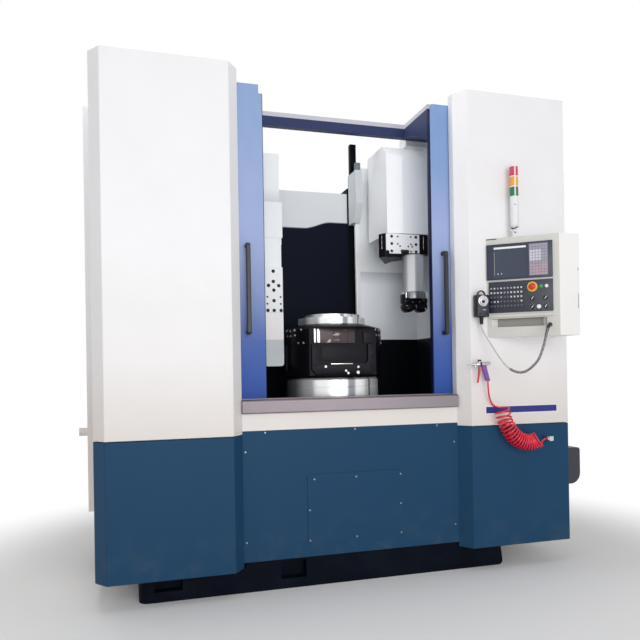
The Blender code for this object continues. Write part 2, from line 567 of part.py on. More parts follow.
def turned_mesh(profile, sides, x=0.0, y=0.0):
    """A closed body of revolution from a profile that starts and ends on the axis."""
    bm = bmesh.new()
    verts = [bm.verts.new((r, 0, z)) for r, z in profile]
    edges = [bm.edges.new(pair) for pair in zip(verts, verts[1:])]
    bmesh.ops.spin(bm, geom=verts + edges, cent=(0, 0, 0), axis=(0, 0, 1), angle=math.tau,
                   steps=sides, use_merge=True)
    bmesh.ops.remove_doubles(bm, verts=bm.verts, dist=1e-5)
    bmesh.ops.translate(bm, vec=(x, y, 0), verts=bm.verts)
    return bm


def make_columns():
    """Two columns, their covers, the ram's drive, and the dark panel between them."""
    for side, s in (("left", -1), ("right", 1)):
        x0, x1 = span(s, COL_X0, COL_X1)
        pts = [(REAR_Y, BED_Z + GAP), (REAR_Y, COL_Z1), (COL_Y0, COL_Z1), (COL_Y0, COVER_LOW_Z - GAP),
               (COVER_Y0, COVER_LOW_Z - GAP), (COVER_Y0, BED_Z + GAP)]
        column = add(side + "_column", prism_mesh(pts, x0, x1, "YZ"), "navy_casting")
        if s > 0:
            fuse_ram_drive(column)
        x0, x1 = span(s, COVER_X0, COVER_X1)
        y0, y1 = COVER_Y0, COL_Y0 - GAP
        step = COVER_SPLIT_Z - SEAM_GAP
        pts = [(y1, COVER_LOW_Z), (y1, COVER_TOP_Z), (y0, COVER_TOP_Z), (y0, COVER_SPLIT_Z),
               (y0 + EDGE_ROUND, COVER_SPLIT_Z), (y0 + EDGE_ROUND, step), (y0, step), (y0, COVER_LOW_Z)]
        add(side + "_column_cover", prism_mesh(pts, x0, x1, "YZ"), "white_paint")
    x = COL_X0 - GAP
    y0, y1 = COL_Y0, COL_Y0 + BACK_T
    pts = [(y0, BED_Z + GAP), (y0, BACK_Z1), (y0 + BACK_STEP, BACK_Z1), (y0 + BACK_STEP, GUARD_Z1),
           (y1, GUARD_Z1), (y1, BED_Z + GAP)]
    add("back_panel", prism_mesh(pts, -x, x, "YZ"), "black_plastic")


def fuse_ram_drive(column):
    """Gear box, screw motor and upright post on the front of the right column."""
    top = FRAME_Z - DRIVE_DROP
    pts = [(DRIVE_Y0, top - DRIVE_H), (DRIVE_Y0, top), (COL_Y0 + SINK, top),
           (COL_Y0 + SINK, top - DRIVE_BACK_H), (DRIVE_Y0 + DRIVE_BACK, top - DRIVE_BACK_H)]
    fuse(column, prism_mesh(pts, DRIVE_X0, DRIVE_X1, "YZ"))
    x, y = (DRIVE_X0 + DRIVE_X1) / 2, DRIVE_Y0 + SCREW_MOTOR_R + 2 * SINK
    fuse(column, cone_mesh(SCREW_MOTOR_R, SCREW_MOTOR_R, (x, y, top - SINK),
                           (x, y, top + SCREW_MOTOR_H), 20))
    y = COL_Y0 - POST_HALF
    fuse(column, box_mesh(x - POST_HALF, x + POST_HALF, y - POST_HALF, y + POST_HALF - SINK,
                          top - SINK, FRAME_Z - POST_DROP))


def make_right_post():
    """Ram housing with the indexing turret and the boring bar under it."""
    origin = (TURRET_X, TURRET_Y, RAM_Z0)
    pts = [(RAM_Y0, RAM_Z0), (RAM_Y1, RAM_Z0), (RAM_Y1, RAM_Z1), (RAM_Y0 + RAM_SLOPE_D, RAM_Z1),
           (RAM_Y0, RAM_Z1 - RAM_SLOPE_H)]
    pts = [(y - TURRET_Y, z - RAM_Z0) for y, z in pts]
    x0, x1 = RAM_X0 - TURRET_X, RAM_X1 - TURRET_X
    ram = add("right_ram_housing", prism_mesh(pts, x0, x1, "YZ"), "white_paint", origin)
    fold = Vector((FOLD_X - TURRET_X, RAM_Y0 - TURRET_Y))
    edge = Vector((x0, fold.y + FOLD_D)) - fold
    off = fold + Vector((edge.x, -2 * FOLD_D))
    wedge = prism_mesh([fold - edge, fold + 2 * edge, off], -SINK, RAM_H + SINK)
    cut(ram, add("fold_cutter", wedge, None, origin))
    fuse(ram, box_mesh(x0 + CARRIAGE_IN, x1 - CARRIAGE_IN, RAM_Y1 - TURRET_Y - SINK,
                       COVER_Y0 - TURRET_Y - GAP, CARRIAGE_IN, RAM_H - CARRIAGE_IN))
    make_turret(origin)
    make_boring_bar(origin)


def make_turret(origin):
    """Three-faced indexing head: a plate is bolted to one face, the others have pads."""
    z1, z0 = -GAP, -GAP - TURRET_H
    face = TURRET_R * math.sqrt(3) - TURRET_CUT
    pts = []
    for station in range(STATIONS):
        turn = Matrix.Rotation(math.tau * station / STATIONS, 2)
        pts += [tuple(turn @ Vector((a, -TURRET_R))) for a in (-face, face)]
    turret = add("turret", prism_mesh(pts, z0 - TURRET_LIP, z1), "chuck_black", origin)
    bevel(turret, TURRET_ROUND)
    reach = 2 * TURRET_R
    cut(turret, add("lip_cutter", box_mesh(LIP_X, reach, -reach, reach, z0 - reach, z0), None, origin))
    for station in range(1, STATIONS):
        pad = box_mesh(-PAD_W / 2, PAD_W / 2, -TURRET_R - PAD_T, -TURRET_R + SINK,
                       z0 + (TURRET_H - PAD_H) / 2, z0 + (TURRET_H + PAD_H) / 2)
        fuse(turret, pad, math.tau * station / STATIONS)
    x0, x1, x2, x3, x4 = PLATE_XS
    top, tab, left, right, low = PLATE_ZS
    pts = [(x0, top), (x0, left), (x1, left), (x1, low), (x2, low), (x2, tab), (x3, tab),
           (x3, right), (x4, right), (x4, top)]
    y = -TURRET_R - GAP
    add("turret_face_plate", prism_mesh(pts, y - PLATE_T, y, "XZ"), "white_paint", origin)


def make_boring_bar(origin):
    """Round bar, clamp ring and the two-lobed cutter head at its end."""
    x, y = SLEEVE_X - TURRET_X, SLEEVE_Y - TURRET_Y
    z = -2 * GAP - TURRET_H
    low = z - SLEEVE_H
    ring = low - RING_H
    profile = [(0, z), (SLEEVE_R, z), (SLEEVE_R, low), (RING_R, low), (RING_R, ring - SINK),
               (0, ring - SINK)]
    bar = add("boring_bar_sleeve", turned_mesh(profile, 32, x, y), "chuck_black", origin, smooth=True)
    w, ear, foot, r = HOLDER_W, HOLDER_W - EAR_W, ring - HOLDER_H, HOLDER_ROUND
    pts = [(-w, ring + EAR_H), (-w, foot), (-2 * HOLDER_NOTCH, foot), (0, foot + HOLDER_NOTCH),
           (2 * HOLDER_NOTCH, foot), (w, foot), (w, ring + EAR_H), (ear, ring + EAR_H), (ear, ring),
           (-ear, ring), (-ear, ring + EAR_H)]
    radii = (0, r, 0, 0, 0, r, 0, 0, 0, 0, 0)
    pts = [(a + x, b) for a, b in rounded(pts, radii, 5)]
    fuse(bar, prism_mesh(pts, y - HOLDER_D, y + HOLDER_D, "XZ"))


def make_left_post():
    """Telescopic slide cover with the tool block and the holders under it."""
    ox, oz = POST_X, TOOL_Z[-1]
    half = POST_W / 2
    low, mid, high = (z - oz for z in TOOL_Z[:3])
    top = high - GAP
    notch, groove = half - TOOL_GROOVE, mid + TOOL_GROOVE
    pts = [(-half, low), (half, low), (half, mid), (notch, mid), (notch, groove), (half, groove),
           (half, top), (-half, top), (-half, groove), (-notch, groove), (-notch, mid), (-half, mid)]
    radii = [TOOL_ROUND if z == low else 0 for _, z in pts]
    bm = prism_mesh(rounded(pts, radii), POST_Y0, POST_Y1, "XZ")
    add("left_tool_holder", bm, "white_paint", (ox, 0, oz))
    bm = box_mesh(-half, half, POST_Y0, POST_Y1, high, -GAP)
    add("left_tool_block", bm, "white_paint", (ox, 0, oz))
    length = SLIDE_TOP_Z - oz
    slide, low = None, 0.0
    for share, inset in zip(SLIDE_SHARES, SLIDE_INSET):
        high = low + share * length
        bm = box_mesh(SLIDE_X0 + inset - ox, SLIDE_X1 - inset - ox, POST_Y0 + inset, COVER_Y0 - GAP,
                      low - (SINK if slide else 0), high)
        if slide:
            fuse(slide, bm)
        else:
            slide = add("left_slide_cover", bm, "white_paint", (ox, 0, oz))
            x1 = SLIDE_X1 - inset - ox
            fuse(slide, box_mesh(x1 - SINK, x1 + NUB_OUT, POST_Y0 + NUB_H, POST_Y0 + 2 * NUB_H,
                                 high - NUB_H, high))
        low = high


def face_frame():
    """Start, direction and outward normal of the slanted control face."""
    start = Vector((PANEL_LEFT_X, FRONT_Y - GAP, 0))
    end = Vector((PANEL_NOSE_X, FRONT_Y - PANEL_OUT, 0))
    along = (end - start).normalized()
    return start, along, Vector((along.y, -along.x, 0)), (end - start).length


def on_face(name, bm, mat, s, z, out=0.0, smooth=False):
    """Place a mesh drawn with +X along the control face and -Y out of it."""
    start, along, normal, _ = face_frame()
    at = start + along * s + normal * out
    turn = math.atan2(along.y, along.x)
    return add(name, bm, mat, (at.x, at.y, z), turn, smooth)


def knob_mesh(profile, s, z, base, bm=None, sides=16):
    """A turned knob that points out of a panel whose front lies at -base."""
    knob = turned_mesh([(r, h - SINK / 2 if i < 2 else h) for i, (r, h) in enumerate(profile)], sides)
    bmesh.ops.rotate(knob, verts=knob.verts, cent=(0, 0, 0), matrix=Matrix.Rotation(math.pi / 2, 3, "X"))
    bmesh.ops.translate(knob, vec=(s, -base, z), verts=knob.verts)
    if bm is None:
        return knob
    mesh = bpy.data.meshes.new("knob")
    knob.to_mesh(mesh)
    knob.free()
    bm.from_mesh(mesh)
    bpy.data.meshes.remove(mesh)
    return bm


def make_control_panel():
    """Box with a slanted face: display unit, operator panel, ledge and keyboard recess."""
    y0, y1 = FRONT_Y - GAP, FRONT_Y - PANEL_OUT
    plan = [(PANEL_LEFT_X, y0), (PANEL_NOSE_X, y1), (PANEL_RIGHT_X, y1), (PANEL_RIGHT_X, y0)]
    plan = rounded(plan, (0, PANEL_ROUND, PANEL_ROUND, 0))
    panel = add("control_box", prism_mesh(plan, PANEL_Z0, PANEL_Z1), "white_paint")
    shelf = box_mesh(0, SHELF_S1 - SHELF_S0, -SHELF_D, SHELF_D, 0, SHELF_Z1 - SHELF_Z0)
    cut(panel, on_face("shelf_cutter", shelf, None, SHELF_S0, SHELF_Z0))
    ledge = box_mesh(0, KEYS_W, -LEDGE_OUT, SINK, 0, LEDGE_H)
    join(panel, on_face("ledge", ledge, None, KEYS_S, LEDGE_Z))
    make_display()
    make_operator_panel()


def make_display():
    """Display unit: bezel round a sunk screen, and a raised key pad."""
    bm = box_mesh(0, DISPLAY_W, -DISPLAY_T, 0, 0, DISPLAY_H)
    unit = on_face("display_unit", bm, "dark_grey", DISPLAY_S, DISPLAY_Z, GAP)
    low, high = SCREEN_MARGIN, DISPLAY_H - SCREEN_MARGIN
    hole = box_mesh(SCREEN_S, SCREEN_S + SCREEN_W, -2 * DISPLAY_T, SCREEN_IN - DISPLAY_T, low, high)
    cut(unit, on_face("screen_cutter", hole, None, DISPLAY_S, DISPLAY_Z, GAP))
    pad = box_mesh(PAD_S, PAD_S + PAD_KEYS_W, -DISPLAY_T - PAD_OUT, SINK - DISPLAY_T, low, high)
    join(unit, on_face("key_pad", pad, None, DISPLAY_S, DISPLAY_Z, GAP))


def make_operator_panel():
    """Operator panel: key rows, emergency stop, rotary switches and push buttons."""
    bm = box_mesh(0, KEYS_W, -KEYS_T, 0, 0, KEYS_H)
    panel = on_face("operator_panel", bm, "dark_grey", KEYS_S, KEYS_Z, GAP)
    keys = bmesh.new()
    for column in range(KEY_COLS):
        for row in range(KEY_ROWS):
            s, z = KEY_S0 + column * KEY_PITCH_S, KEY_Z0 + row * KEY_PITCH_Z
            box_mesh(s, s + KEY_W, -KEYS_T - KEY_OUT, SINK - KEYS_T, z, z + KEY_W, keys)
    join(panel, on_face("keys", keys, None, KEYS_S, KEYS_Z, GAP))
    stop = [(0, 0), (STOP_COLLAR, 0), (STOP_COLLAR, KEY_OUT), (STOP_STEM, KEY_OUT),
            (STOP_STEM, STOP_OUT / 2), (STOP_R, STOP_OUT / 2), (STOP_R, STOP_OUT - STOP_EDGE),
            (STOP_R - STOP_EDGE, STOP_OUT), (0, STOP_OUT)]
    knob = [(0, 0), (KNOB_R, 0), (KNOB_R, KNOB_SKIRT), (KNOB_WAIST, KNOB_SKIRT),
            (KNOB_TOP_R, KNOB_OUT), (0, KNOB_OUT)]
    button = [(0, 0), (BUTTON_R, 0), (BUTTON_R, BUTTON_OUT), (0, BUTTON_OUT)]
    controls = knob_mesh(stop, *STOP_AT, KEYS_T, sides=24)
    for at in KNOBS_AT:
        knob_mesh(knob, *at, KEYS_T, controls)
    for at in BUTTONS_AT:
        knob_mesh(button, *at, KEYS_T, controls)
    join(panel, on_face("controls", controls, None, KEYS_S, KEYS_Z, GAP))


def make_tower():
    """Signal lamp tower on a flanged neck, standing on the control box."""
    z = PANEL_Z1 + GAP
    r = TOWER_R
    cup = z + TOWER_FLANGE_H + NECK_H
    top = cup + CUP_H + BODY_H
    profile = [(0, z), (TOWER_FLANGE_R, z), (TOWER_FLANGE_R, z + TOWER_FLANGE_H),
               (NECK_R, z + TOWER_FLANGE_H), (NECK_R, cup), (r, cup + CUP_TAPER), (r, top)]
    for lamp in range(LAMPS):
        profile += [(r - LAMP_GROOVE_D, top), (r - LAMP_GROOVE_D, top + LAMP_GROOVE),
                    (r, top + LAMP_GROOVE), (r, top + LAMP_H)]
        top += LAMP_H
    profile += [(r - LAMP_GROOVE_D, top + CAP_H), (0, top + CAP_H)]
    tower = turned_mesh(profile, 24, TOWER_X, FRONT_Y - TOWER_OUT)
    add("signal_tower", tower, "white_paint", smooth=True)


def smooth_route(points, spacing):
    """Points at about even spacing along a smooth curve through a route's own points."""
    pts = [Vector(p) for p in points]
    pts = [2 * pts[0] - pts[1]] + pts + [2 * pts[-1] - pts[-2]]
    out = []
    for a, b, c, d in zip(pts, pts[1:], pts[2:], pts[3:]):
        steps = max(1, round((c - b).length / spacing))
        for i in range(steps):
            t = i / steps
            out.append(0.5 * (2 * b + (c - a) * t + (2 * a - 5 * b + 4 * c - d) * t * t
                              + (3 * b - a - 3 * c + d) * t ** 3))
    return out + [pts[-2]]


def cord(name, points, radius, mat, spacing, resolution=2):
    """A tube with filled caps along a route."""
    curve = bpy.data.curves.new(name, "CURVE")
    curve.dimensions = "3D"
    curve.bevel_depth = radius
    curve.bevel_resolution = resolution
    curve.use_fill_caps = True
    spline = curve.splines.new("POLY")
    route = smooth_route(points, spacing)
    spline.points.add(len(route) - 1)
    for point, co in zip(spline.points, route):
        point.co = (*co, 1.0)
    curve.materials.append(material(mat))
    ob = bpy.data.objects.new(name, curve)
    bpy.context.collection.objects.link(ob)
    return ob


def make_pendant():
    """Handwheel unit on its peg, with its cable back to the control box."""
    y1 = FRONT_Y - PEG_T - 2 * GAP
    y0 = y1 - PENDANT_T
    half, low = PENDANT_W / 2, PENDANT_Z0 + BOOT_H
    x = PENDANT_X
    pts = [(x - half, low), (x + half, low), (x + half, PENDANT_Z1), (x - half, PENDANT_Z1)]
    body = prism_mesh(rounded(pts, [PENDANT_ROUND] * 4), y0, y1, "XZ")
    pendant = add("pendant", body, "black_plastic")
    middle = (y0 + y1) / 2
    fuse(pendant, cone_mesh(BOOT_R0, BOOT_R, (x, middle, PENDANT_Z0), (x, middle, low + SINK)))
    fuse(pendant, cone_mesh(DIAL_SEAT, DIAL_R, (x, y0 + SINK, DIAL_Z), (x, y0 - DIAL_OUT, DIAL_Z), 24))
    fuse(pendant, bail_mesh(x, middle))
    _, along, normal, _ = face_frame()
    gland = cone_mesh(GLAND_R, GLAND_R, (0, 0, 0), (0, -GLAND_L, 0), 20)
    on_face("cable_gland", gland, "black_plastic", GLAND_S, GLAND_Z, GAP)
    start = face_frame()[0] + along * GLAND_S + normal * (GLAND_L + 2 * GAP)
    start.z = GLAND_Z
    end = Vector((x, middle, PENDANT_Z0 - GAP))
    drop = Vector((0, 0, BOOT_LEAD))
    route = [start, start + normal * CABLE_LEAD, *CABLE_ROUTE, end - drop, end]
    cord("pendant_cable", route, CABLE_R, "black_plastic", CABLE_STEP)


def bail_mesh(x, y, steps=8):
    """Half-round hanger on top of the pendant."""
    arc = [math.pi * i / steps for i in range(steps + 1)]
    foot = PENDANT_Z1 - SINK
    pts = [(x + BAIL_R, foot)]
    pts += [(x + BAIL_R * math.cos(a), PENDANT_Z1 + BAIL_R * math.sin(a)) for a in arc]
    pts += [(x - BAIL_R, foot), (x - BAIL_R + BAIL_T, foot)]
    inner = BAIL_R - BAIL_T
    pts += [(x - inner * math.cos(a), PENDANT_Z1 + inner * math.sin(a)) for a in arc]
    pts += [(x + inner, foot)]
    return prism_mesh(pts, y - BAIL_D / 2, y + BAIL_D / 2, "XZ")


def make_air_line():
    """Air gun on its peg, its curly hose and the fitting on the cabinet."""
    y1 = FRONT_Y - PEG_OUT - 2 * GAP
    x, z = GUN_X, GUN_Z
    n, b, grip, tip = GUN_NOZZLE_R, GUN_BODY_R, -GUN_GRIP, -GUN_NOZZLE
    lever = LEVER_X - LEVER_T
    pts = [(tip, -n), (LEVER_X, -b), (lever, -LEVER_L), (lever + LEVER_T, -LEVER_L), (0, -b),
           (b, -b), (GUN_GRIP_X0, grip), (GUN_GRIP_X1, grip), (GUN_GRIP_X1, GUN_HEEL),
           (GUN_GRIP_X0, GUN_CROWN), (-b, b), (tip, n)]
    gun = prism_mesh([(x + a, z + c) for a, c in pts], y1 - GUN_T, y1, "XZ")
    bevel(add("air_gun", gun, "hose_red"), GUN_ROUND)
    y = y1 - GUN_T / 2
    tail = Vector((x + (GUN_GRIP_X0 + GUN_GRIP_X1) / 2, y, z - GUN_GRIP - GAP))
    head = Vector(COIL_ROUTE[0])
    lead = (Vector(COIL_ROUTE[1]) - head).normalized()
    head = head - lead * GAP
    drop = Vector((0, 0, HOSE_LEAD))
    cord("air_hose", [tail, tail - drop, tail - 2 * drop, head - 2 * HOSE_LEAD * lead,
                      head - HOSE_LEAD * lead, head], HOSE_R, "hose_red", HOSE_STEP)
    end = Vector(COIL_ROUTE[-1])
    cord("air_hose_coil", COIL_ROUTE, COIL_R, "hose_red", COIL_R)
    hex_end = end + Vector((FITTING_HEX, 0, 0))
    block = box_mesh(hex_end.x, hex_end.x + FITTING_W, end.y - FITTING_W / 2, FRONT_Y - GAP,
                     end.z - FITTING_W / 2, end.z + FITTING_W / 2)
    fitting = add("hose_fitting", block, "stainless")
    fuse(fitting, cone_mesh(COLLAR_R, COLLAR_R, (end.x + GAP, end.y, end.z),
                            (hex_end.x + SINK, end.y, end.z), 6))


def make_side_motor():
    """Dark motor housing with its flange, on the outside of the right cabinet."""
    x0 = RIGHT_X1 + GAP
    x1 = x0 + MOTOR_OUT
    corners = [(x0, MOTOR_Z0), (x1, MOTOR_Z0), (x1, MOTOR_Z1), (x0, MOTOR_Z1)]
    profile = rounded(corners, (0, MOTOR_ROUND, MOTOR_FOOT_ROUND, 0), 6)
    motor = add("side_motor", prism_mesh(profile, MOTOR_Y0, MOTOR_Y1, "XZ"), "dark_grey")
    rim = MOTOR_RIM
    fuse(motor, box_mesh(x0, x0 + MOTOR_FLANGE, MOTOR_Y0 - rim, MOTOR_Y1 + rim,
                         MOTOR_Z0 - rim, MOTOR_Z1 + rim))


def clear_scene():
    """Remove what the scene holds."""
    for ob in list(bpy.data.objects):
        bpy.data.objects.remove(ob, do_unlink=True)


def main():
    clear_scene()
    make_base()
    make_front_covers()
    make_side_cabinets()
    make_apron()
    make_door("left", -1)
    make_door("right", 1)
    make_top_frame()
    make_spindle()
    make_columns()
    make_right_post()
    make_left_post()
    make_control_panel()
    make_tower()
    make_pendant()
    make_air_line()
    make_side_motor()


main()
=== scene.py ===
"""Twin-post vertical turning lathe: finishes, fittings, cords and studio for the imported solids.

Metres, +Z up, the front looks toward -Y. The origin lies on the floor, on the spindle axis.
"""

import math

import bmesh
import bpy
from bpy.props import FloatProperty, FloatVectorProperty, IntProperty, PointerProperty
from bpy.types import Operator, Panel, PropertyGroup
from mathutils import Matrix, Vector


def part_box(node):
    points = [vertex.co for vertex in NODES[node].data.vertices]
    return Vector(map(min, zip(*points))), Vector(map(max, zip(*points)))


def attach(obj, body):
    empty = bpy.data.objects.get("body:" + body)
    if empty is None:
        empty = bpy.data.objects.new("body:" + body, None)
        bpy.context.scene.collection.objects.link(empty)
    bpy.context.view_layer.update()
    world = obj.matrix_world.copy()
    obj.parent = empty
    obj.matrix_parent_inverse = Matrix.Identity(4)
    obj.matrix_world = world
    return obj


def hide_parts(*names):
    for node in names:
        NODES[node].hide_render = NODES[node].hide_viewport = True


bl_info = {
    "name": "Vertical turning lathe",
    "version": (1, 0, 0),
    "blender": (4, 5, 0),
    "location": "View3D > Sidebar > Lathe",
    "description": "Dresses a twin-post vertical turning lathe",
    "category": "Object",
}

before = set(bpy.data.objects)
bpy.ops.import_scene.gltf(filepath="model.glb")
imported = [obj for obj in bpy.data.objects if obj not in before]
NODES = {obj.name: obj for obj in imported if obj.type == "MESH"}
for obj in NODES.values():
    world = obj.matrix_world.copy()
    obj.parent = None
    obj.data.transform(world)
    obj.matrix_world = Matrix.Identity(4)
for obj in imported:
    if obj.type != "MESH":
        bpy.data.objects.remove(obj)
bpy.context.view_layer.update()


def srgb(r, g, b):
    """A colour read as 0 to 255, as the linear values a shader takes."""
    return tuple(c / 255 / 12.92 if c <= 10 else ((c / 255 + 0.055) / 1.055) ** 2.4
                 for c in (r, g, b))


def tones(*marks):
    """Ramp stops, each given as its place and a colour read as 0 to 255."""
    return [(spot, srgb(*tone)) for spot, *tone in marks]


def colour(name, text, r, g, b):
    """A colour setting with its default."""
    return FloatVectorProperty(name=name, description=text, subtype="COLOR", size=3, min=0, max=1,
                               default=srgb(r, g, b))


def length(name, text, default):
    """A length setting in metres."""
    return FloatProperty(name=name, description=text, default=default, min=0, subtype="DISTANCE",
                         unit="LENGTH")


def angle(name, text, degrees):
    """An angle setting, its default in degrees."""
    return FloatProperty(name=name, description=text, default=math.radians(degrees),
                         subtype="ANGLE", unit="ROTATION")


def power(name, text, default):
    """A lamp's power setting."""
    return FloatProperty(name=name, description=text, default=default, min=0, unit="POWER")


# ---------------------------------------------------------------- settings

class LatheColours(PropertyGroup):
    """Colours a user would change."""
    # White, high to White, low: the white darkens and warms toward the bottom as painted shade and
    # painted floor reflection.
    white_high: colour("White, high", "Powder coat at the top of the machine", 241, 240, 242)
    white_low: colour("White, low", "Powder coat just above the blue covers", 224, 218, 214)
    blue_high: colour("Blue, high", "Top of the lower covers and apron", 31, 68, 99)
    blue_low: colour("Blue, low", "Foot of the lower covers and apron", 31, 67, 98)
    # The doors' darker foot is painted shade.
    door_high: colour("Door blue, high", "Top of the sliding doors", 126, 158, 204)
    door_middle: colour("Door blue, middle", "Pale middle of the sliding doors", 158, 174, 216)
    door_low: colour("Door blue, low", "Foot of the sliding doors", 46, 82, 160)
    casting: colour("Casting", "Base casting", 7, 12, 22)
    hose: colour("Hose", "Curly air hose", 224, 34, 58)


class LatheSizes(PropertyGroup):
    """Sizes a user would change."""
    cable: length("Pendant cable", "Diameter of the bare cable", 0.010)
    wrap: length("Cable wrap", "Diameter over the spiral wrap", 0.0175)
    hose: length("Air hose", "Outside diameter of the hose", 0.010)
    coil: length("Coil radius", "Radius of the hose's last turns, to its own middle", 0.046)
    turns: IntProperty(name="Turns", description="Turns of the curly hose", default=19, min=3)


class LatheStudio(PropertyGroup):
    """Camera and light."""
    lens: FloatProperty(name="Lens", description="Focal length", default=36.56, min=10,
                        subtype="DISTANCE_CAMERA", unit="CAMERA")
    place: FloatVectorProperty(name="Camera", description="Place of the camera",
                               subtype="TRANSLATION", unit="LENGTH",
                               default=(-1.277, -4.035, 1.222))
    yaw: angle("Yaw", "Turn to the right of straight ahead", 16.508)
    pitch: angle("Pitch", "Upward tilt", 0.194)
    roll: angle("Roll", "Turn about the view", -0.943)
    rise: FloatProperty(name="Shift", description="Upward shift of the lens", default=0.078125)
    key: power("Key", "Key light", 245.0)
    fill: power("Fill", "Fill light", 8.0)
    top: power("Top", "Overhead light", 30.0)
    inner: power("Inner", "Light through the open top", 30.0)
    sky: FloatProperty(name="Sky", description="Even light from all round", default=0.45, min=0)


# ---------------------------------------------------------------- shader maths

class Value:
    """A shader socket in Python arithmetic: each operator adds one Math node."""

    def __init__(self, graph, socket):
        self.graph, self.socket = graph, socket

    def __add__(self, other):
        return self.graph.math("ADD", self, other)

    def __sub__(self, other):
        return self.graph.math("SUBTRACT", self, other)

    def __rsub__(self, other):
        return self.graph.math("SUBTRACT", other, self)

    def __mul__(self, other):
        return self.graph.math("MULTIPLY", self, other)

    def __truediv__(self, other):
        return self.graph.math("DIVIDE", self, other)

    __radd__ = __add__
    __rmul__ = __mul__

    def step(self, low, high):
        """0 below low, 1 above high, smooth between."""
        return self.graph.node("ShaderNodeMapRange", {"interpolation_type": "SMOOTHSTEP"},
                               {"Value": self, "From Min": low, "From Max": high}, "Result")

    def within(self, low, high, soft=0.0005):
        """1 between low and high, 0 outside."""
        return self.step(low - soft, low) * (1 - self.step(high, high + soft))


class Graph:
    """The node tree of one finish, or of the world, on its shader's own sockets."""

    def __init__(self, name, kind="materials", shader="Principled BSDF", **constants):
        self.data = getattr(bpy.data, kind).new(name)
        self.data.use_nodes = True
        self.tree = self.data.node_tree
        self.shader = self.tree.nodes[shader]
        for key, value in constants.items():
            self.shader.inputs[key.replace("_", " ")].default_value = value
        self.place = self.node("ShaderNodeTexCoord", out="Object")

    def node(self, kind, settings=None, sockets=None, out=0):
        """A node with its settings, then its sockets' values or links; several outs give a list."""
        made = self.tree.nodes.new(kind)
        for key, value in (settings or {}).items():
            if key == "stops":
                self._stops(made.color_ramp.elements, value)
            else:
                setattr(made, key, value)
        for key, value in (sockets or {}).items():
            if isinstance(value, Value):
                self.tree.links.new(value.socket, made.inputs[key])
            else:
                made.inputs[key].default_value = value
        if isinstance(out, tuple):
            return [Value(self, made.outputs[o]) for o in out]
        return Value(self, made.outputs[out])

    @staticmethod
    def _stops(elements, stops):
        elements[0].position, elements[1].position = stops[0][0], stops[-1][0]
        for spot, _ in stops[1:-1]:
            elements.new(spot)
        for element, (_, tone) in zip(elements, stops):
            element.color = (*tone, 1)

    def math(self, operation, a, b=0.0):
        return self.node("ShaderNodeMath", {"operation": operation}, {0: a, 1: b})

    def axes(self):
        return self.node("ShaderNodeSeparateXYZ", None, {"Vector": self.place}, ("X", "Y", "Z"))

    def mix(self, factor, a, b, blend="MIX"):
        """One colour laid over another; plain colours may be given as three numbers."""
        a, b = ((*c, 1) if not isinstance(c, Value) else c for c in (a, b))
        return self.node("ShaderNodeMix", {"data_type": "RGBA", "blend_type": blend},
                         {0: factor, 6: a, 7: b}, 2)

    def ramp(self, value, stops):
        """Colours set out along a value, each at its own amount of it."""
        low, high = stops[0][0], stops[-1][0]
        return self.node("ShaderNodeValToRGB", {
            "stops": [((spot - low) / (high - low), tone) for spot, tone in stops]},
            {"Fac": (value - low) / (high - low)})

    def noise(self, scale, detail=3.0, stretch=(1, 1, 1)):
        """Soft noise from 0 to 1, drawn out along an axis by a small stretch value."""
        vector = self.node("ShaderNodeMapping", None, {"Vector": self.place, "Scale": stretch})
        return self.node("ShaderNodeTexNoise", None,
                         {"Vector": vector, "Scale": scale, "Detail": detail, "Roughness": 0.55})

    def set(self, socket, value):
        self.tree.links.new(value.socket, self.shader.inputs[socket])

    def whiten(self, share, kind, end):
        """Plain white over a share of the finish, where a camera, mirror or pane looks at it."""
        white = self.node(kind, None, {"Color": (1, 1, 1, 1), "Strength": 1.0})
        rays = self.node("ShaderNodeLightPath", None, None,
                         ("Is Camera Ray", "Is Glossy Ray", "Is Transmission Ray"))
        seen = self.math("MINIMUM", rays[0] + rays[1] + rays[2], 1.0)
        both = self.node("ShaderNodeMixShader", None, {
            0: seen * share, 1: Value(self, self.shader.outputs[0]), 2: white})
        self.tree.links.new(both.socket, self.tree.nodes[end].inputs["Surface"])

    def bump(self, height, strength, distance):
        self.set("Normal", self.node("ShaderNodeBump", None, {
            "Height": height, "Strength": strength, "Distance": distance}))


def shade(graph, base, amount, scale=3.0, detail=4.0):
    """A colour with soft lighter and darker clouds over it."""
    cloud = graph.mix(graph.noise(scale, detail).step(0.3, 0.7), (0.35,) * 3, (1.0,) * 3)
    return graph.mix(amount, base, cloud, "MULTIPLY")


def between(a, b, share):
    """A colour part of the way from one to another."""
    return tuple(p + (q - p) * share for p, q in zip(a, b))


def powder_coat(name, stops, rough=0.42, dirt=0.10, gloss=0.4, mask=None):
    """Sprayed sheet metal: orange peel, faint clouds, and dust near the floor."""
    g = Graph(name, Specular_IOR_Level=gloss)
    x, y, z = g.axes()
    base = g.ramp(z, stops)
    if mask:
        base = mask(g, x, y, z, base)
    base = shade(g, base, 0.04)
    dust = (1 - z.step(0.0, 0.5)) * g.noise(9.0, 6.0).step(0.45, 0.75)
    g.set("Base Color", g.mix(dust * dirt, base, srgb(120, 112, 100)))
    g.set("Roughness", g.noise(14.0) * 0.10 + (rough - 0.05))
    g.bump(g.noise(420.0, 2.0), 0.12, 0.0004)
    return g.data


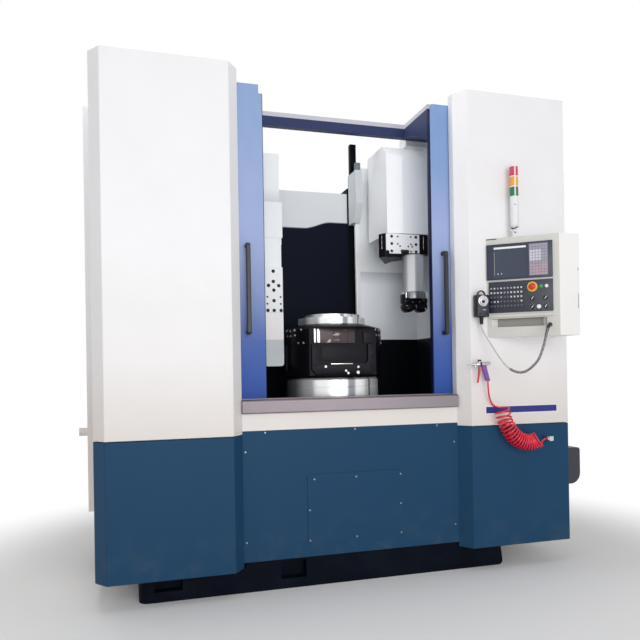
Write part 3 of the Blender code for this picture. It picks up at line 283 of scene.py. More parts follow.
def door_paint(name, low, middle, high):
    """Sliding door's coat: darker toward the foot as painted shade, with pale clouds in the middle,
    and a dark strip at each leading edge as painted shade.
    """
    def clouds(g, x, y, z, base):
        cloud = g.noise(2.2, 3.0, (1.0, 1.0, 0.5)).step(0.35, 0.65)
        base = g.mix(cloud * z.step(1.2, 1.8) * 0.35, base, between(middle, (1, 1, 1), 0.22))
        right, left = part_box("right_sliding_door")[0].x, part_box("left_sliding_door")[1].x
        # Painted shade: a dark navy strip at each door's leading edge.
        shaded_edge_strip = x.within(right - 0.01, right + 0.007) + x.within(left - 0.003, left + 0.01)
        return g.mix(shaded_edge_strip, base, srgb(16, 26, 62))
    # The stops darken toward the foot: painted shade.
    stops = [(1.05, low), (1.40, between(low, middle, 0.15)), (1.90, between(middle, low, 0.12)),
             (2.10, middle), (2.45, between(high, middle, 0.3)), (2.90, high)]
    return powder_coat(name, stops, 0.40, 0.0, 0.1, clouds)


def back_paint(name):
    """Rear wall: near black, with a lighter grey sheet above a wavy edge."""
    def sheet(g, x, y, z, base):
        edge = z - x.step(-0.05, 0.15) * 0.05 - 2.2567
        return g.mix(edge.step(-0.006, 0.006), base, srgb(220, 224, 228))
    return powder_coat(name, tones((0.9, 11, 15, 27), (2.6, 14, 20, 36)), 0.5, 0.0, 0.05, sheet)


def drive_paint(name, tone):
    """Right column in near black, with the white drive box and the grey motor on top of it."""
    def parts(g, x, y, z, base):
        foot, head = 2.28, 2.6505
        cased = (1 - y.step(0.4492, 0.4497)) * z.within(foot, head)
        base = g.mix(cased, base, srgb(206, 210, 214))
        motor = (1 - y.step(0.395, 0.400)) * z.step(head, head + 0.0005)
        return g.mix(motor, base, srgb(120, 126, 136))
    return powder_coat(name, [(0.9, tone), (2.9, tone)], 0.5, 0.0, 0.05, parts)


def cabinet_paint(name, stops):
    """Cabinet in white, with its inner wall dark below the column cover's foot."""
    def inner(g, x, y, z, base):
        wall = 1 - g.math("ABSOLUTE", x).step(0.7812, 0.7822)
        base = g.mix(wall, base, srgb(236, 239, 242))
        return g.mix(wall * (1 - z.step(1.451, 1.453)), base, srgb(9, 13, 20))
    return powder_coat(name, stops, 0.42, 0.10, 0.4, inner)


def control_paint(name):
    """Control box: painted shade makes the slanted face darker than the side and the nose, and the
    recess under the ledge darker still.
    """
    def face(g, x, y, z, base):
        out = x * FACE_OUT.x + y * FACE_OUT.y - FACE_START.dot(FACE_OUT)
        # Painted shade: the slanted face, flush with the box, is coloured darker.
        shaded_face = out.step(-0.0013, -0.0005) * (1 - x.step(1.156, 1.160))
        base = g.mix(shaded_face, base, srgb(208, 206, 200))
        # Painted shade: the recess under the ledge is coloured darker.
        recess_shade = (1 - out.step(-0.0028, -0.0018)) * z.within(1.470, 1.530) * x.within(0.83, 1.11)
        return g.mix(recess_shade, base, srgb(158, 154, 149))
    return powder_coat(name, tones((1.3, 238, 236, 233), (2.1, 241, 240, 239)), 0.4, 0.0, 0.4, face)


def frame_paint(name):
    """Top frame: dark blue below its pale top edge."""
    def edge(g, x, y, z, base):
        return g.mix(z.step(2.890, 2.893), base, srgb(203, 203, 213))
    return powder_coat(name, tones((2.6, 52, 62, 100), (2.92, 56, 64, 100)), 0.4, 0.0, 0.1, edge)


def casting_paint(name, tone):
    """Dark enamel on rough cast iron, with oil haze."""
    g = Graph(name, Specular_IOR_Level=0.05)
    base = g.mix(g.noise(6.0, 5.0).step(0.35, 0.75), tone, [c * 1.6 + 0.001 for c in tone])
    g.set("Base Color", base)
    g.set("Roughness", g.noise(11.0, 4.0) * 0.22 + 0.36)
    g.bump(g.noise(160.0, 4.0), 0.25, 0.0012)
    return g.data


def brushed(name, tone, rough=0.28, stretch=(0.02, 1, 1), grain=0.35, shaded=0.0):
    """Metal with a fine grain along one axis, darkened by a share on its left as painted shade."""
    g = Graph(name, Metallic=1.0)
    lines = g.noise(900.0, 2.0, stretch)
    # Painted shade: the colour darkens toward -X by the shaded share.
    left_shade = g.mix((1 - g.axes()[0].step(-0.85, 0.25)) * shaded, tone, (0, 0, 0))
    g.set("Base Color", g.mix(lines * grain, left_shade, [c * 0.6 for c in tone]))
    g.set("Roughness", lines * 0.14 + g.noise(7.0) * 0.08 + (rough - 0.10))
    g.bump(lines, 0.10, 0.0003)
    return g.data


def banded_steel(name, stops, rough=0.24, x=0.0, y=0.0, metallic=0.5):
    """Bright turned steel: lathe rings about an upright axis, and grey bands round it as painted
    reflections.
    """
    g = Graph(name, Metallic=metallic)
    ax, ay, az = g.axes()
    px, py = ax - x, ay - y
    radius = g.math("SQRT", px * px + py * py)
    rings = g.math("SINE", (radius + az) * 2600.0)
    around = g.math("ARCTAN2", py, px) / math.tau + 0.5
    fine = g.noise(60.0, 3.0, (1, 1, 0.03))
    # Painted reflections: the colour changes round the axis in grey bands.
    tone = g.ramp(around, stops)
    g.set("Base Color", g.mix(fine * 0.06, tone, (0.4, 0.4, 0.42)))
    g.set("Roughness", g.noise(20.0) * 0.06 + fine * 0.04 + (rough - 0.05))
    g.bump(rings, 0.05, 0.0002)
    return g.data


def reflection_bands(*marks):
    """Ramp stops for painted reflections, grey bands on bright steel: middle, half width and tone
    of each.
    """
    bright, stops = srgb(250, 251, 252), []
    for middle, half, tone in marks:
        tone = srgb(*tone)
        stops += [(middle - half * 2, bright), (middle - half, tone), (middle + half, tone),
                  (middle + half * 2, bright)]
    first = srgb(150, 153, 158)
    start = [(0.0, first), (0.062, srgb(140, 143, 148)), (0.104, bright)]
    return start + stops + [(0.93, bright), (1.0, first)]


def black_oxide(name, tone=(0.004, 0.004, 0.006), rough=0.34, metallic=0.05):
    """Blackened steel with oil sheen and bright rubbed spots."""
    g = Graph(name, Metallic=metallic, Specular_IOR_Level=0.12)
    rub = g.noise(26.0, 6.0).step(0.60, 0.80)
    base = g.mix(g.noise(5.0, 4.0), tone, [c * 2.6 for c in tone])
    g.set("Base Color", g.mix(rub * 0.35, base, (0.03, 0.03, 0.033)))
    g.set("Roughness", g.noise(18.0, 4.0) * 0.20 + (rough - 0.10))
    g.bump(g.noise(260.0, 3.0), 0.12, 0.0004)
    return g.data


def jaw_metal(name, tone):
    """Oiled brown jaw steel with bright worn streaks, made brighter toward -X as painted highlight.
    """
    g = Graph(name, Metallic=0.35, Specular_IOR_Level=0.3)
    lines = g.noise(500.0, 2.0, (0.06, 1, 1))
    worn = g.noise(24.0, 4.0, (0.5, 1, 1.4)).step(0.56, 0.66)
    x = g.axes()[0]
    # Painted highlight: the worn streaks are brighter toward -X.
    near = 1 - x.step(-0.14, 0.02)
    base = g.mix(lines * 0.5, tone, [c * 0.5 for c in tone])
    g.set("Base Color", g.mix(worn * (near * 0.8 + 0.12), base, srgb(232, 224, 224)))
    g.set("Roughness", lines * 0.14 + g.noise(7.0) * 0.08 + 0.24)
    g.bump(lines, 0.10, 0.0003)
    return g.data


def moulded(name, tone, rough=0.45, grain=700.0, depth=0.10, vary=0.10, **constants):
    """Moulded plastic or rubber with a fine grain."""
    g = Graph(name, **constants)
    g.set("Base Color", shade(g, tone, vary, 30.0))
    g.set("Roughness", g.noise(40.0) * 0.10 + (rough - 0.05))
    g.bump(g.noise(grain, 2.0), depth, 0.0003)
    return g.data


def lens_glass(name, tone, bright):
    """Ribbed lamp lens with an upright gleam on the side of the light, painted in as a highlight.
    """
    g = Graph(name, Specular_IOR_Level=0.6)
    x, y, z = g.axes()
    ribs = g.math("SINE", z * 1600.0) * 0.5 + 0.5
    gleam = g.math("ARCTAN2", y - TOWER_AT[1], x - TOWER_AT[0]).within(-1.98, -1.72, 0.06)
    g.set("Base Color", g.mix(gleam * 0.85 + ribs * 0.05, tone, bright))
    g.set("Roughness", ribs * 0.08 + 0.18)
    g.bump(ribs, 0.15, 0.0006)
    return g.data


def glass(name, tone, alpha=0.45):
    """Tinted pane seen from outside, with faint wipe marks."""
    g = Graph(name, Specular_IOR_Level=0.6)
    smear = g.noise(6.0, 5.0, (1, 1, 0.2))
    g.set("Base Color", g.mix(smear * 0.2, tone, [min(1, c * 1.8 + 0.02) for c in tone]))
    g.set("Roughness", smear * 0.12 + 0.03)
    g.set("Alpha", smear * 0.06 + alpha)
    return g.data


FINISHES = {}
SHARP = math.radians(40)        # edges that turn by more than this are rounded

COATS = {           # finish: its name, roughness, dirt and gloss, then heights and their colours
    # Column covers: the darkening from 1.85 up to the step at 1.943 is a painted shadow under the
    # upper cover's edge.
    "cover": ("column_cover_coat", (0.45, 0.0, 0.3), (1.45, 226, 230, 234), (1.60, 244, 248, 252),
              (1.85, 244, 248, 252), (1.932, 212, 216, 221), (1.938, 208, 212, 217),
              (1.943, 246, 250, 252), (2.69, 248, 251, 253)),
    # Slide cover: the grey band from 2.285 to 2.37 is painted shade.
    "slide": ("slide_cover_coat", (0.40, 0.0), (1.88, 247, 250, 251), (2.069, 243, 246, 248),
              (2.285, 240, 243, 245), (2.290, 212, 216, 220), (2.370, 240, 243, 245),
              (2.60, 244, 246, 248)),
    "block": ("tool_block_coat", (0.35, 0.0), (1.59, 236, 237, 240), (1.88, 246, 247, 250)),
    "holder": ("tool_holder_coat", (0.35, 0.0), (1.26, 199, 205, 211), (1.36, 188, 194, 200),
               (1.425, 190, 196, 201), (1.4315, 232, 228, 231), (1.55, 240, 236, 239),
               (1.60, 240, 238, 241)),
    "ram": ("ram_coat", (0.35, 0.0), (2.13, 252, 253, 255), (2.95, 250, 252, 254)),
    "strip": ("apron_strip_coat", (0.42, 0.05), (0.8, 226, 220, 216), (0.95, 228, 222, 218)),
    "plate_white": ("turret_plate_coat", (0.35, 0.0), (1.9, 246, 247, 248), (2.2, 249, 250, 251)),
}

MOULDED = {         # finish: its name, colour and roughness, then grain, depth and variation
    "dark_grey": ("dark_grey_coat", (46, 48, 56), 0.45),
    "bezel": ("display_bezel", (34, 42, 66), 0.38),
    "screen": ("dark_screen", (50, 60, 78), 0.16, 900.0, 0.01, 0.05),
    "panel": ("operator_panel_film", (34, 38, 54), 0.40, 900.0),
    "key_bright": ("bright_key", (206, 208, 214), 0.4),
    "key_mid": ("half_bright_key", (158, 161, 172), 0.4),
    "key_pale": ("pale_key", (204, 201, 214), 0.4),
    "pad_film": ("key_pad_film", (128, 125, 142), 0.4),
    "key_dim": ("dim_key", (92, 96, 112), 0.4),
    "key_lilac": ("lilac_key", (158, 154, 170), 0.4),
    "key_pink": ("pink_key", (178, 156, 166), 0.4),
    "mark_white": ("white_mark", (238, 238, 240), 0.4),
    "mark_dark": ("dark_mark", (30, 32, 40), 0.5),
    "label_blue": ("bare_blue_strip", (26, 28, 122), 0.4),
    "red": ("red_plastic", (208, 36, 40), 0.3),
    "yellow": ("yellow_plastic", (232, 190, 40), 0.35),
    "green": ("green_plastic", (40, 160, 84), 0.3),
    "tower_white": ("tower_white", (232, 233, 234), 0.4),
    "grip": ("gun_grip_plastic", (126, 76, 158), 0.35),
    "gun_red": ("gun_red_plastic", (214, 44, 62), 0.3),
    "cable": ("cable_jacket", (205, 202, 200), 0.4),
    "wrap": ("cable_wrap", (38, 34, 46), 0.35),
}

GIVEN = {           # finish: the solids that wear it
    "white": "left_front_cover_upper signal_tower",
    "cabinet": "left_cabinet right_cabinet",
    "white_right": "right_front_cover_upper",
    "strip": "apron_top_strip",
    "control": "control_box",
    "cover": "left_column_cover right_column_cover",
    "ram": "right_ram_housing",
    "slide": "left_slide_cover",
    "block": "left_tool_block",
    "holder": "left_tool_holder",
    "plate_white": "turret_face_plate",
    "blue": "left_front_cover_lower right_front_cover_lower front_apron inspection_hatch",
    "door": "left_sliding_door right_sliding_door",
    "frame_blue": "top_frame",
    "casting": "base_casting",
    "column": "left_column right_column",
    "sill": "sill",
    "steel": "spindle_housing chuck_face_plate",
    "sleeve": "boring_bar_sleeve",
    "fittings": "hose_fitting",
    "black": "chuck_body turret",
    "back": "back_panel",
    "black_plastic": "left_door_handle right_door_handle pendant cable_gland",
    "dark_grey": "side_motor",
    "bezel": "display_unit",
    "panel": "operator_panel",
    "glass": "left_door_window right_door_window",
    "hose": "air_hose air_hose_coil air_gun",
    "cable": "pendant_cable",
}


def finish(name):
    """A finished material by its name."""
    if name not in FINISHES:
        raise RuntimeError("no finish is called " + name)
    return FINISHES[name]


# ---------------------------------------------------------------- shapes

def block(lo, hi, edge=0.0, segments=2):
    """A box between two corners, with rounded edges."""
    bm = bmesh.new()
    bmesh.ops.create_cube(bm, size=1.0)
    lo, hi = Vector(lo), Vector(hi)
    bmesh.ops.scale(bm, vec=hi - lo, verts=bm.verts)
    bmesh.ops.translate(bm, vec=(lo + hi) / 2, verts=bm.verts)
    return soften(bm, edge, segments)


def soften(bm, edge, segments=2):
    """Round the sharp edges of a closed shape."""
    if edge:
        sharp = [e for e in bm.edges if e.is_manifold and e.calc_face_angle() > SHARP]
        bmesh.ops.bevel(bm, geom=sharp, offset=edge, offset_type="OFFSET", segments=segments,
                        profile=0.5, affect="EDGES", clamp_overlap=True, material=-1)
    return bm


def bar(radius1, radius2, start, end, sides=24, edge=0.0):
    """A round bar or cone between two points."""
    bm = bmesh.new()
    start, end = Vector(start), Vector(end)
    bmesh.ops.create_cone(bm, cap_ends=True, segments=sides, radius1=radius1, radius2=radius2,
                          depth=(end - start).length, matrix=aim((start + end) / 2, end - start))
    return soften(bm, edge)


def aim(at, direction):
    """A placing that carries +Z to a direction."""
    return Matrix.Translation(at) @ Vector(direction).to_track_quat("Z", "Y").to_matrix().to_4x4()


def turned(profile, sides=48, placing=Matrix.Identity(4)):
    """A body of revolution about Z from a profile of radius and height, then put in place."""
    bm = bmesh.new()
    verts = [bm.verts.new((r, 0, z)) for r, z in profile]
    edges = [bm.edges.new(pair) for pair in zip(verts, verts[1:])]
    bmesh.ops.spin(bm, geom=verts + edges, cent=(0, 0, 0), axis=(0, 0, 1), angle=math.tau,
                   steps=sides, use_merge=True)
    bmesh.ops.remove_doubles(bm, verts=bm.verts, dist=1e-5)
    bmesh.ops.transform(bm, matrix=placing, verts=bm.verts)
    return bm


def prism(points, low, high, plane="XY", edge=0.0, segments=2):
    """A closed outline, pushed out along the third axis."""
    place = {"XY": lambda a, b, c: (a, b, c), "XZ": lambda a, b, c: (a, c, b)}[plane]
    bm = bmesh.new()
    face = bm.faces.new([bm.verts.new(place(a, b, low)) for a, b in points])
    out = bmesh.ops.extrude_face_region(bm, geom=[face])["geom"]
    bmesh.ops.translate(bm, vec=Vector(place(0, 0, high - low)),
                        verts=[v for v in out if isinstance(v, bmesh.types.BMVert)])
    return soften(bm, edge, segments)


def placed(name, data):
    """A new object in the scene."""
    ob = bpy.data.objects.new(name, data)
    bpy.context.scene.collection.objects.link(ob)
    return ob


def blocks(*rows):
    """Boxes with their finishes' numbers, each row: number, two corners, rounding, its steps."""
    return [(block(*rest), index) for index, *rest in rows]


def turnings(*rows):
    """Turned bodies with their finishes' numbers, each row: number, sides, placing, profile."""
    return [(turned(profile, sides, at), index) for index, sides, at, profile in rows]


def together(shapes):
    """Several shapes as one."""
    whole, spare = bmesh.new(), bpy.data.meshes.new("spare")
    for bm in shapes:
        bmesh.ops.recalc_face_normals(bm, faces=bm.faces)
        bm.to_mesh(spare)
        bm.free()
        whole.from_mesh(spare)
    bpy.data.meshes.remove(spare)
    return whole


def carved(body, cutter):
    """The body less the cutter's space; the walls that the cutter leaves take the second finish."""
    pair = []
    for index, bm in enumerate((body, cutter)):
        bmesh.ops.recalc_face_normals(bm, faces=bm.faces)
        for face in bm.faces:
            face.material_index = index
        mesh = bpy.data.meshes.new("spare")
        mesh.materials.append(None)
        mesh.materials.append(None)
        bm.to_mesh(mesh)
        bm.free()
        pair.append(placed("spare", mesh))
    cut = pair[0].modifiers.new("cut", "BOOLEAN")
    cut.operation, cut.solver, cut.object = "DIFFERENCE", "EXACT", pair[1]
    bpy.context.view_layer.update()
    seen = pair[0].evaluated_get(bpy.context.evaluated_depsgraph_get())
    left = bpy.data.meshes.new_from_object(seen)
    out = bmesh.new()
    out.from_mesh(left)
    for mesh in [left] + [ob.data for ob in pair]:
        bpy.data.meshes.remove(mesh)
    return out


def bolt(at, out, radius, height, sides=14):
    """Round socket-head screw that stands out from a face."""
    r, h = radius, height
    return turned([(0, -0.0005), (r, -0.0005), (r, 0.75 * h), (0.86 * r, h), (0.5 * r, h),
                   (0.46 * r, 0.45 * h), (0, 0.45 * h)], sides, aim(Vector(at), out))


def screws(spots, out, radius, height):
    """Like screws at several places."""
    return together([bolt(at, out, radius, height) for at in spots])


def moved(bm, placing):
    """The same shape, put in place."""
    bmesh.ops.transform(bm, matrix=placing, verts=bm.verts)
    return bm


def piece(name, parts, finishes, body="frame", replaces=(), sharp=35.0):
    """One object from shapes, each given alone or with its finish's number (None: its own)."""
    shapes = []
    for part in parts:
        bm, index = part if isinstance(part, tuple) else (part, 0)
        if index is not None:
            for face in bm.faces:
                face.material_index = index
        shapes.append(bm)
    whole = together(shapes)
    mesh = bpy.data.meshes.new(name)
    whole.to_mesh(mesh)
    whole.free()
    mesh.shade_smooth()
    mesh.set_sharp_from_angle(angle=math.radians(sharp))
    ob = placed(name, mesh)
    for each in finishes:
        mesh.materials.append(finish(each))
    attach(ob, body)
    if replaces:
        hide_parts(*replaces)
    return ob


def smooth_route(points, spacing):
    """Points at about even spacing along a smooth curve through a route's own points."""
    pts = [Vector(p) for p in points]
    pts = [2 * pts[0] - pts[1]] + pts + [2 * pts[-1] - pts[-2]]
    out = []
    for a, b, c, d in zip(pts, pts[1:], pts[2:], pts[3:]):
        steps = max(1, round((c - b).length / spacing))
        for i in range(steps):
            t = i / steps
            out.append(0.5 * (2 * b + (c - a) * t + (2 * a - 5 * b + 4 * c - d) * t * t
                              + (3 * b - a - 3 * c + d) * t ** 3))
    return out + [pts[-2]]


def even(points, count):
    """Points at even spacing along the same line."""
    step, out, walked, index = route_length(points) / (count - 1), [points[0].copy()], 0.0, 0
    for k in range(1, count - 1):
        while walked + (points[index + 1] - points[index]).length < step * k:
            walked += (points[index + 1] - points[index]).length
            index += 1
        part = points[index + 1] - points[index]
        out.append(points[index] + part * ((step * k - walked) / part.length))
    return out + [points[-1].copy()]


def relaxed(points, least, spacing):
    """The same route at even spacing, its bends eased until none is tighter than a radius."""
    count = max(12, round(route_length(points) / spacing) + 1)
    points = even(points, count)
    for _ in range(400):
        eased = []
        for i in range(2, count - 2):
            a, b, c = points[i - 1:i + 2]
            if (b - a).angle(c - b) > (c - a).length / 2 / least:
                eased.append((i, b.lerp((a + c) / 2, 0.4)))
        if not eased:
            break
        for i, spot in eased:
            points[i] = spot
        points = even(points, count)
    return points


def hermite(start, ahead, end, into, steps):
    """Points from one place and direction to another, on one smooth curve."""
    out = []
    for i in range(1, steps):
        t = i / steps
        out.append(start * (2 * t ** 3 - 3 * t ** 2 + 1) + ahead * (t ** 3 - 2 * t ** 2 + t)
                   + end * (3 * t ** 2 - 2 * t ** 3) + into * (t ** 3 - t ** 2))
    return out


def route_length(points):
    """Length of the line through a route's points."""
    return sum((b - a).length for a, b in zip(points, points[1:]))


def cord_curve(name, points, diameter, finish_name, sides=4):
    """A round cord along a line of points, as one open spline with closed ends."""
    curve = bpy.data.curves.new(name, "CURVE")
    curve.dimensions = "3D"
    curve.bevel_depth = diameter / 2
    curve.bevel_resolution = sides
    curve.use_fill_caps = True
    spline = curve.splines.new("POLY")
    spline.points.add(len(points) - 1)
    for point, co in zip(spline.points, points):
        point.co = (*co, 1.0)
    spline.use_smooth = True
    curve.materials.append(finish(finish_name))
    return placed(name, curve)


def cord_mesh(tube, name):
    """A cord as a fixed black mesh of its own."""
    mesh = bpy.data.meshes.new_from_object(tube)
    bpy.data.objects.remove(tube)
    mesh.name = name
    ob = placed(name, mesh)
    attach(ob, "frame")
    return ob


# ---------------------------------------------------------------- places that the CAD source fixes

CABINET_FRONT = -0.5303
TOWER_AT = (0.996, -0.585)                      # signal tower's axis
TURRET_AT = (0.520, 2.135)                      # turret's axis and its head's top, x and z
BAR_AT = (0.5985, 0.020)                        # boring bar's axis
CHUCK_RADIUS, CHUCK_HEIGHT, CHUCK_FLAT = 0.320, 0.333, -0.236
FRONT = (0, -1, 0)

FACE_START = Vector((0.830, CABINET_FRONT, 0))  # slanted control face, from left to right
FACE_END = Vector((1.159, -0.792, 0.0))
FACE_ALONG = (FACE_END - FACE_START).normalized()
FACE_OUT = Vector((FACE_ALONG.y, -FACE_ALONG.x, 0.0))
FACE_TURN = math.atan2(FACE_ALONG.y, FACE_ALONG.x)
FACE = Matrix.Translation(FACE_START) @ Matrix.Rotation(FACE_TURN, 4, "Z")
GAP = 0.0003                                    # between an added piece and the face behind it

GLAND_S, GLAND_Z, GLAND_L = 0.362, 1.480, 0.028 # along the face, height, length
PENDANT_X, PENDANT_Z0 = 0.768, 1.494            # pendant's middle, and its boot's foot
CABLE_ROUTE = [(1.0555, -0.816, 1.464), (1.029, -0.833, 1.420), (1.008, -0.834, 1.350),
               (0.983, -0.806, 1.264), (0.932, -0.748, 1.204), (0.875, -0.693, 1.224),
               (0.833, -0.648, 1.298), (0.799, -0.606, 1.384), (0.777, -0.579, 1.440)]
COIL_Y = -0.586
COIL_AXIS = [(0.885, COIL_Y, 0.985), (0.893, COIL_Y, 0.950), (0.906, COIL_Y, 0.905),
             (0.940, COIL_Y, 0.845), (0.985, COIL_Y, 0.800), (1.040, -0.590, 0.776),
             (1.085, -0.602, 0.778), (1.115, -0.622, 0.795)]
COIL_SPREAD = 0.28                              # how much wider the first turns are set out
COIL_START, COIL_GROWS = 0.913, 2.5             # first turn's share of the radius, and its growth
HOSE_A0 = 120                                   # degrees round the axis where the coil begins
HOSE_END = (1.1969, COIL_Y, 0.790)
HOSE_TAIL = (0.799, -0.5766, 1.1517)            # at the air gun's grip
GUN_LEAD, END_LEAD = (0.36, 0.18), (0.07, 0.09) # how far each lead keeps its ends' directions


# ---------------------------------------------------------------- operators

class LatheFinishes(Operator):
    """Make every finish and give each solid its own"""
    bl_idname = "lathe.finishes"
    bl_label = "Finishes"

    def execute(self, context):
        c = context.scene.lathe_colours
        made = FINISHES
        low, high = c.white_low, c.white_high
        # The white ramp darkens and warms toward the bottom: painted shade and painted floor
        # reflection.
        white = [(0.2, low), (0.9, low), (1.3, between(low, high, 0.72)), (1.9, high), (2.92, high)]
        made["white"] = powder_coat("white_powder_coat", white)
        made["cabinet"] = cabinet_paint("cabinet_white", white)
        # A copy of the white, two percent darker, as painted shade on the right cover.
        made["white_right"] = powder_coat("right_cover_white_shaded", [
            (z, between(tone, (0, 0, 0), 0.02)) for z, tone in white])
        made["blue"] = powder_coat("blue_powder_coat", [
            (0.15, c.blue_low), (0.9, c.blue_high)], 0.42, 0.15, 0.1)
        made["door"] = door_paint("door_powder_coat", c.door_low, c.door_middle, c.door_high)
        made["frame_blue"] = frame_paint("top_frame_paint")
        made["casting"] = casting_paint("casting_enamel", c.casting)
        made["column"] = drive_paint("column_enamel", srgb(8, 12, 17))
        made["control"] = control_paint("control_box_coat")
        made["back"] = back_paint("rear_wall_coat")
        # The sill's darker left part is painted shade.
        made["sill"] = brushed("sill_stainless", srgb(140, 132, 137), 0.40, shaded=0.36)
        # The spindle drum's grey bands are painted reflections.
        made["steel"] = banded_steel("turned_steel", reflection_bands(
            (0.2667, 0.009, (150, 153, 160)), (0.3425, 0.003, (120, 118, 122)),
            (0.47, 0.02, (150, 153, 158)), (0.58, 0.008, (130, 133, 138)),
            (0.70, 0.015, (150, 153, 158)), (0.82, 0.010, (140, 143, 148))))
        # The sleeve's bright and grey bands round its axis are painted reflections and painted
        # shade.
        made["sleeve"] = banded_steel("sleeve_steel", tones(
            (0.0, 170, 174, 178), (0.07, 200, 203, 206), (0.105, 250, 252, 252),
            (0.197, 252, 253, 253), (0.212, 200, 203, 206), (0.245, 178, 182, 185),
            (0.30, 205, 209, 212), (0.42, 226, 229, 231), (0.60, 240, 242, 243),
            (0.75, 180, 184, 188), (1.0, 170, 174, 178)), 0.35, *BAR_AT, 0.0)
        made["fittings"] = brushed("bright_steel", srgb(205, 205, 209), 0.26, (1, 1, 0.05), 0.2)
        made["ground"] = brushed("ground_steel", srgb(246, 244, 243), 0.2, (0.05, 1, 1), 0.1)
        made["dull_steel"] = brushed("dull_steel", srgb(150, 150, 154), 0.34, (1, 1, 0.05), 0.3)
        made["black"] = black_oxide("black_oxide", (0.002, 0.002, 0.003))
        made["frame_grey"] = black_oxide("jaw_frame_enamel", srgb(18, 18, 24), 0.45, 0.0)
        made["bronze"] = jaw_metal("jaw_bronze", srgb(78, 68, 70))
        made["black_plastic"] = moulded("black_plastic", (0.012, 0.012, 0.013), 0.42)
        made["rubber"] = moulded("black_rubber", (0.014, 0.014, 0.015), 0.6)
        for key, (name, surface, *marks) in COATS.items():
            made[key] = powder_coat(name, tones(*marks), *surface)
        for key, (name, tone, *rest) in MOULDED.items():
            made[key] = moulded(name, srgb(*tone), *rest)
        made["lamp_red"] = lens_glass("red_lens", srgb(204, 44, 84), srgb(250, 226, 232))
        made["lamp_amber"] = lens_glass("amber_lens", srgb(240, 156, 40), srgb(252, 246, 220))
        made["lamp_green"] = lens_glass("green_lens", srgb(8, 104, 62), srgb(214, 240, 228))
        made["glass"] = glass("window_pane", srgb(60, 74, 80))
        made["hose"] = moulded("hose_polyurethane", c.hose, 0.22, 200.0, 0.04, 0.12,
                               Coat_Roughness=0.1)
        dressed = set()
        for key, names in GIVEN.items():
            for name in names.split():
                mesh = NODES[name].data
                mesh.materials.clear()
                mesh.materials.append(finish(key))
                dressed.add(name)
        missing = set(NODES) - dressed
        if missing:
            raise RuntimeError("solids with no finish: " + ", ".join(sorted(missing)))
        return {"FINISHED"}


class LatheCamera(Operator):
    """Set up the camera at the place the machine is looked at from"""
    bl_idname = "lathe.camera"
    bl_label = "Camera"

    def execute(self, context):
        studio = context.scene.lathe_studio
        data = bpy.data.cameras.new("camera")
        data.sensor_width = 36.0
        data.lens = studio.lens
        data.shift_y = studio.rise
        data.clip_end = 60.0
        ob = placed("camera", data)
        yaw, pitch, roll = studio.yaw, studio.pitch, studio.roll
        ahead = Vector((math.sin(yaw) * math.cos(pitch), math.cos(yaw) * math.cos(pitch),
                        math.sin(pitch)))
        level = Vector((math.cos(yaw), -math.sin(yaw), 0.0))
        rise = level.cross(ahead)
        right = level * math.cos(roll) + rise * math.sin(roll)
        up = rise * math.cos(roll) - level * math.sin(roll)
        turn = Matrix((right, up, -ahead)).transposed().to_4x4()
        ob.matrix_world = Matrix.Translation(studio.place) @ turn
        context.scene.camera = ob
        return {"FINISHED"}


class LatheCable(Operator):
    """Hang the pendant's cable, with its spiral wrap, between control box and pendant"""
    bl_idname = "lathe.pendant_cable"
    bl_label = "Pendant cable"

    def execute(self, context):
        size = context.scene.lathe_sizes
        start = FACE_START + FACE_ALONG * GLAND_S + FACE_OUT * (GLAND_L + 2 * GAP)
        start.z = GLAND_Z
        end = Vector((PENDANT_X, -0.5676, PENDANT_Z0 - GAP))
        drop = Vector((0, 0, 0.02))
        points = smooth_route([start, start + FACE_OUT * 0.012, *CABLE_ROUTE, end - drop, end],
                              0.008)
        points = relaxed(points, 4.2 * size.cable, 0.018)
        cable = cord_curve("pendant_cable_jacket", points, size.cable, "cable")
        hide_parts("pendant_cable")
        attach(cable, "frame")
        wrap, sleeve = self.wrap(points, size), self.sleeve(points, size)
        route_length(points)
        return {"FINISHED"}

    @staticmethod
    def sleeve(points, size):
        """Black bend relief that tapers from the gland onto the wrapped cable."""
        line = smooth_route(points[:5], 0.004)
        tube = cord_curve("tube", line, size.wrap * 1.3, "rubber", 6)
        for i, point in enumerate(tube.data.splines[0].points):
            point.radius = 1.0 - 0.2 * i / len(line) - (0.06 if i % 3 == 2 else 0.0)
        return cord_mesh(tube, "pendant_cable_sleeve")

    @staticmethod
    def wrap(points, size):
        """A flat strip wound round the cable from the gland to just past its lowest point."""
        share, pitch, steps = 0.62, 0.0075, 10
        line = smooth_route(points[:int(len(points) * share)], pitch / steps)
        radius = (size.wrap + size.cable) / 4
        side, coil = FACE_OUT.cross(Vector((0, 0, 1))), []
        for i, here in enumerate(line):
            ahead = (line[min(i + 1, len(line) - 1)] - line[max(i - 1, 0)]).normalized()
            side = (side - ahead * side.dot(ahead)).normalized()
            angle = math.tau * i / steps
            across = ahead.cross(side)
            coil.append(here + radius * (math.cos(angle) * side + math.sin(angle) * across))
        strip = cord_curve("strip", coil, (size.wrap - size.cable) / 2, "wrap", 1)
        return cord_mesh(strip, "pendant_cable_wrap")


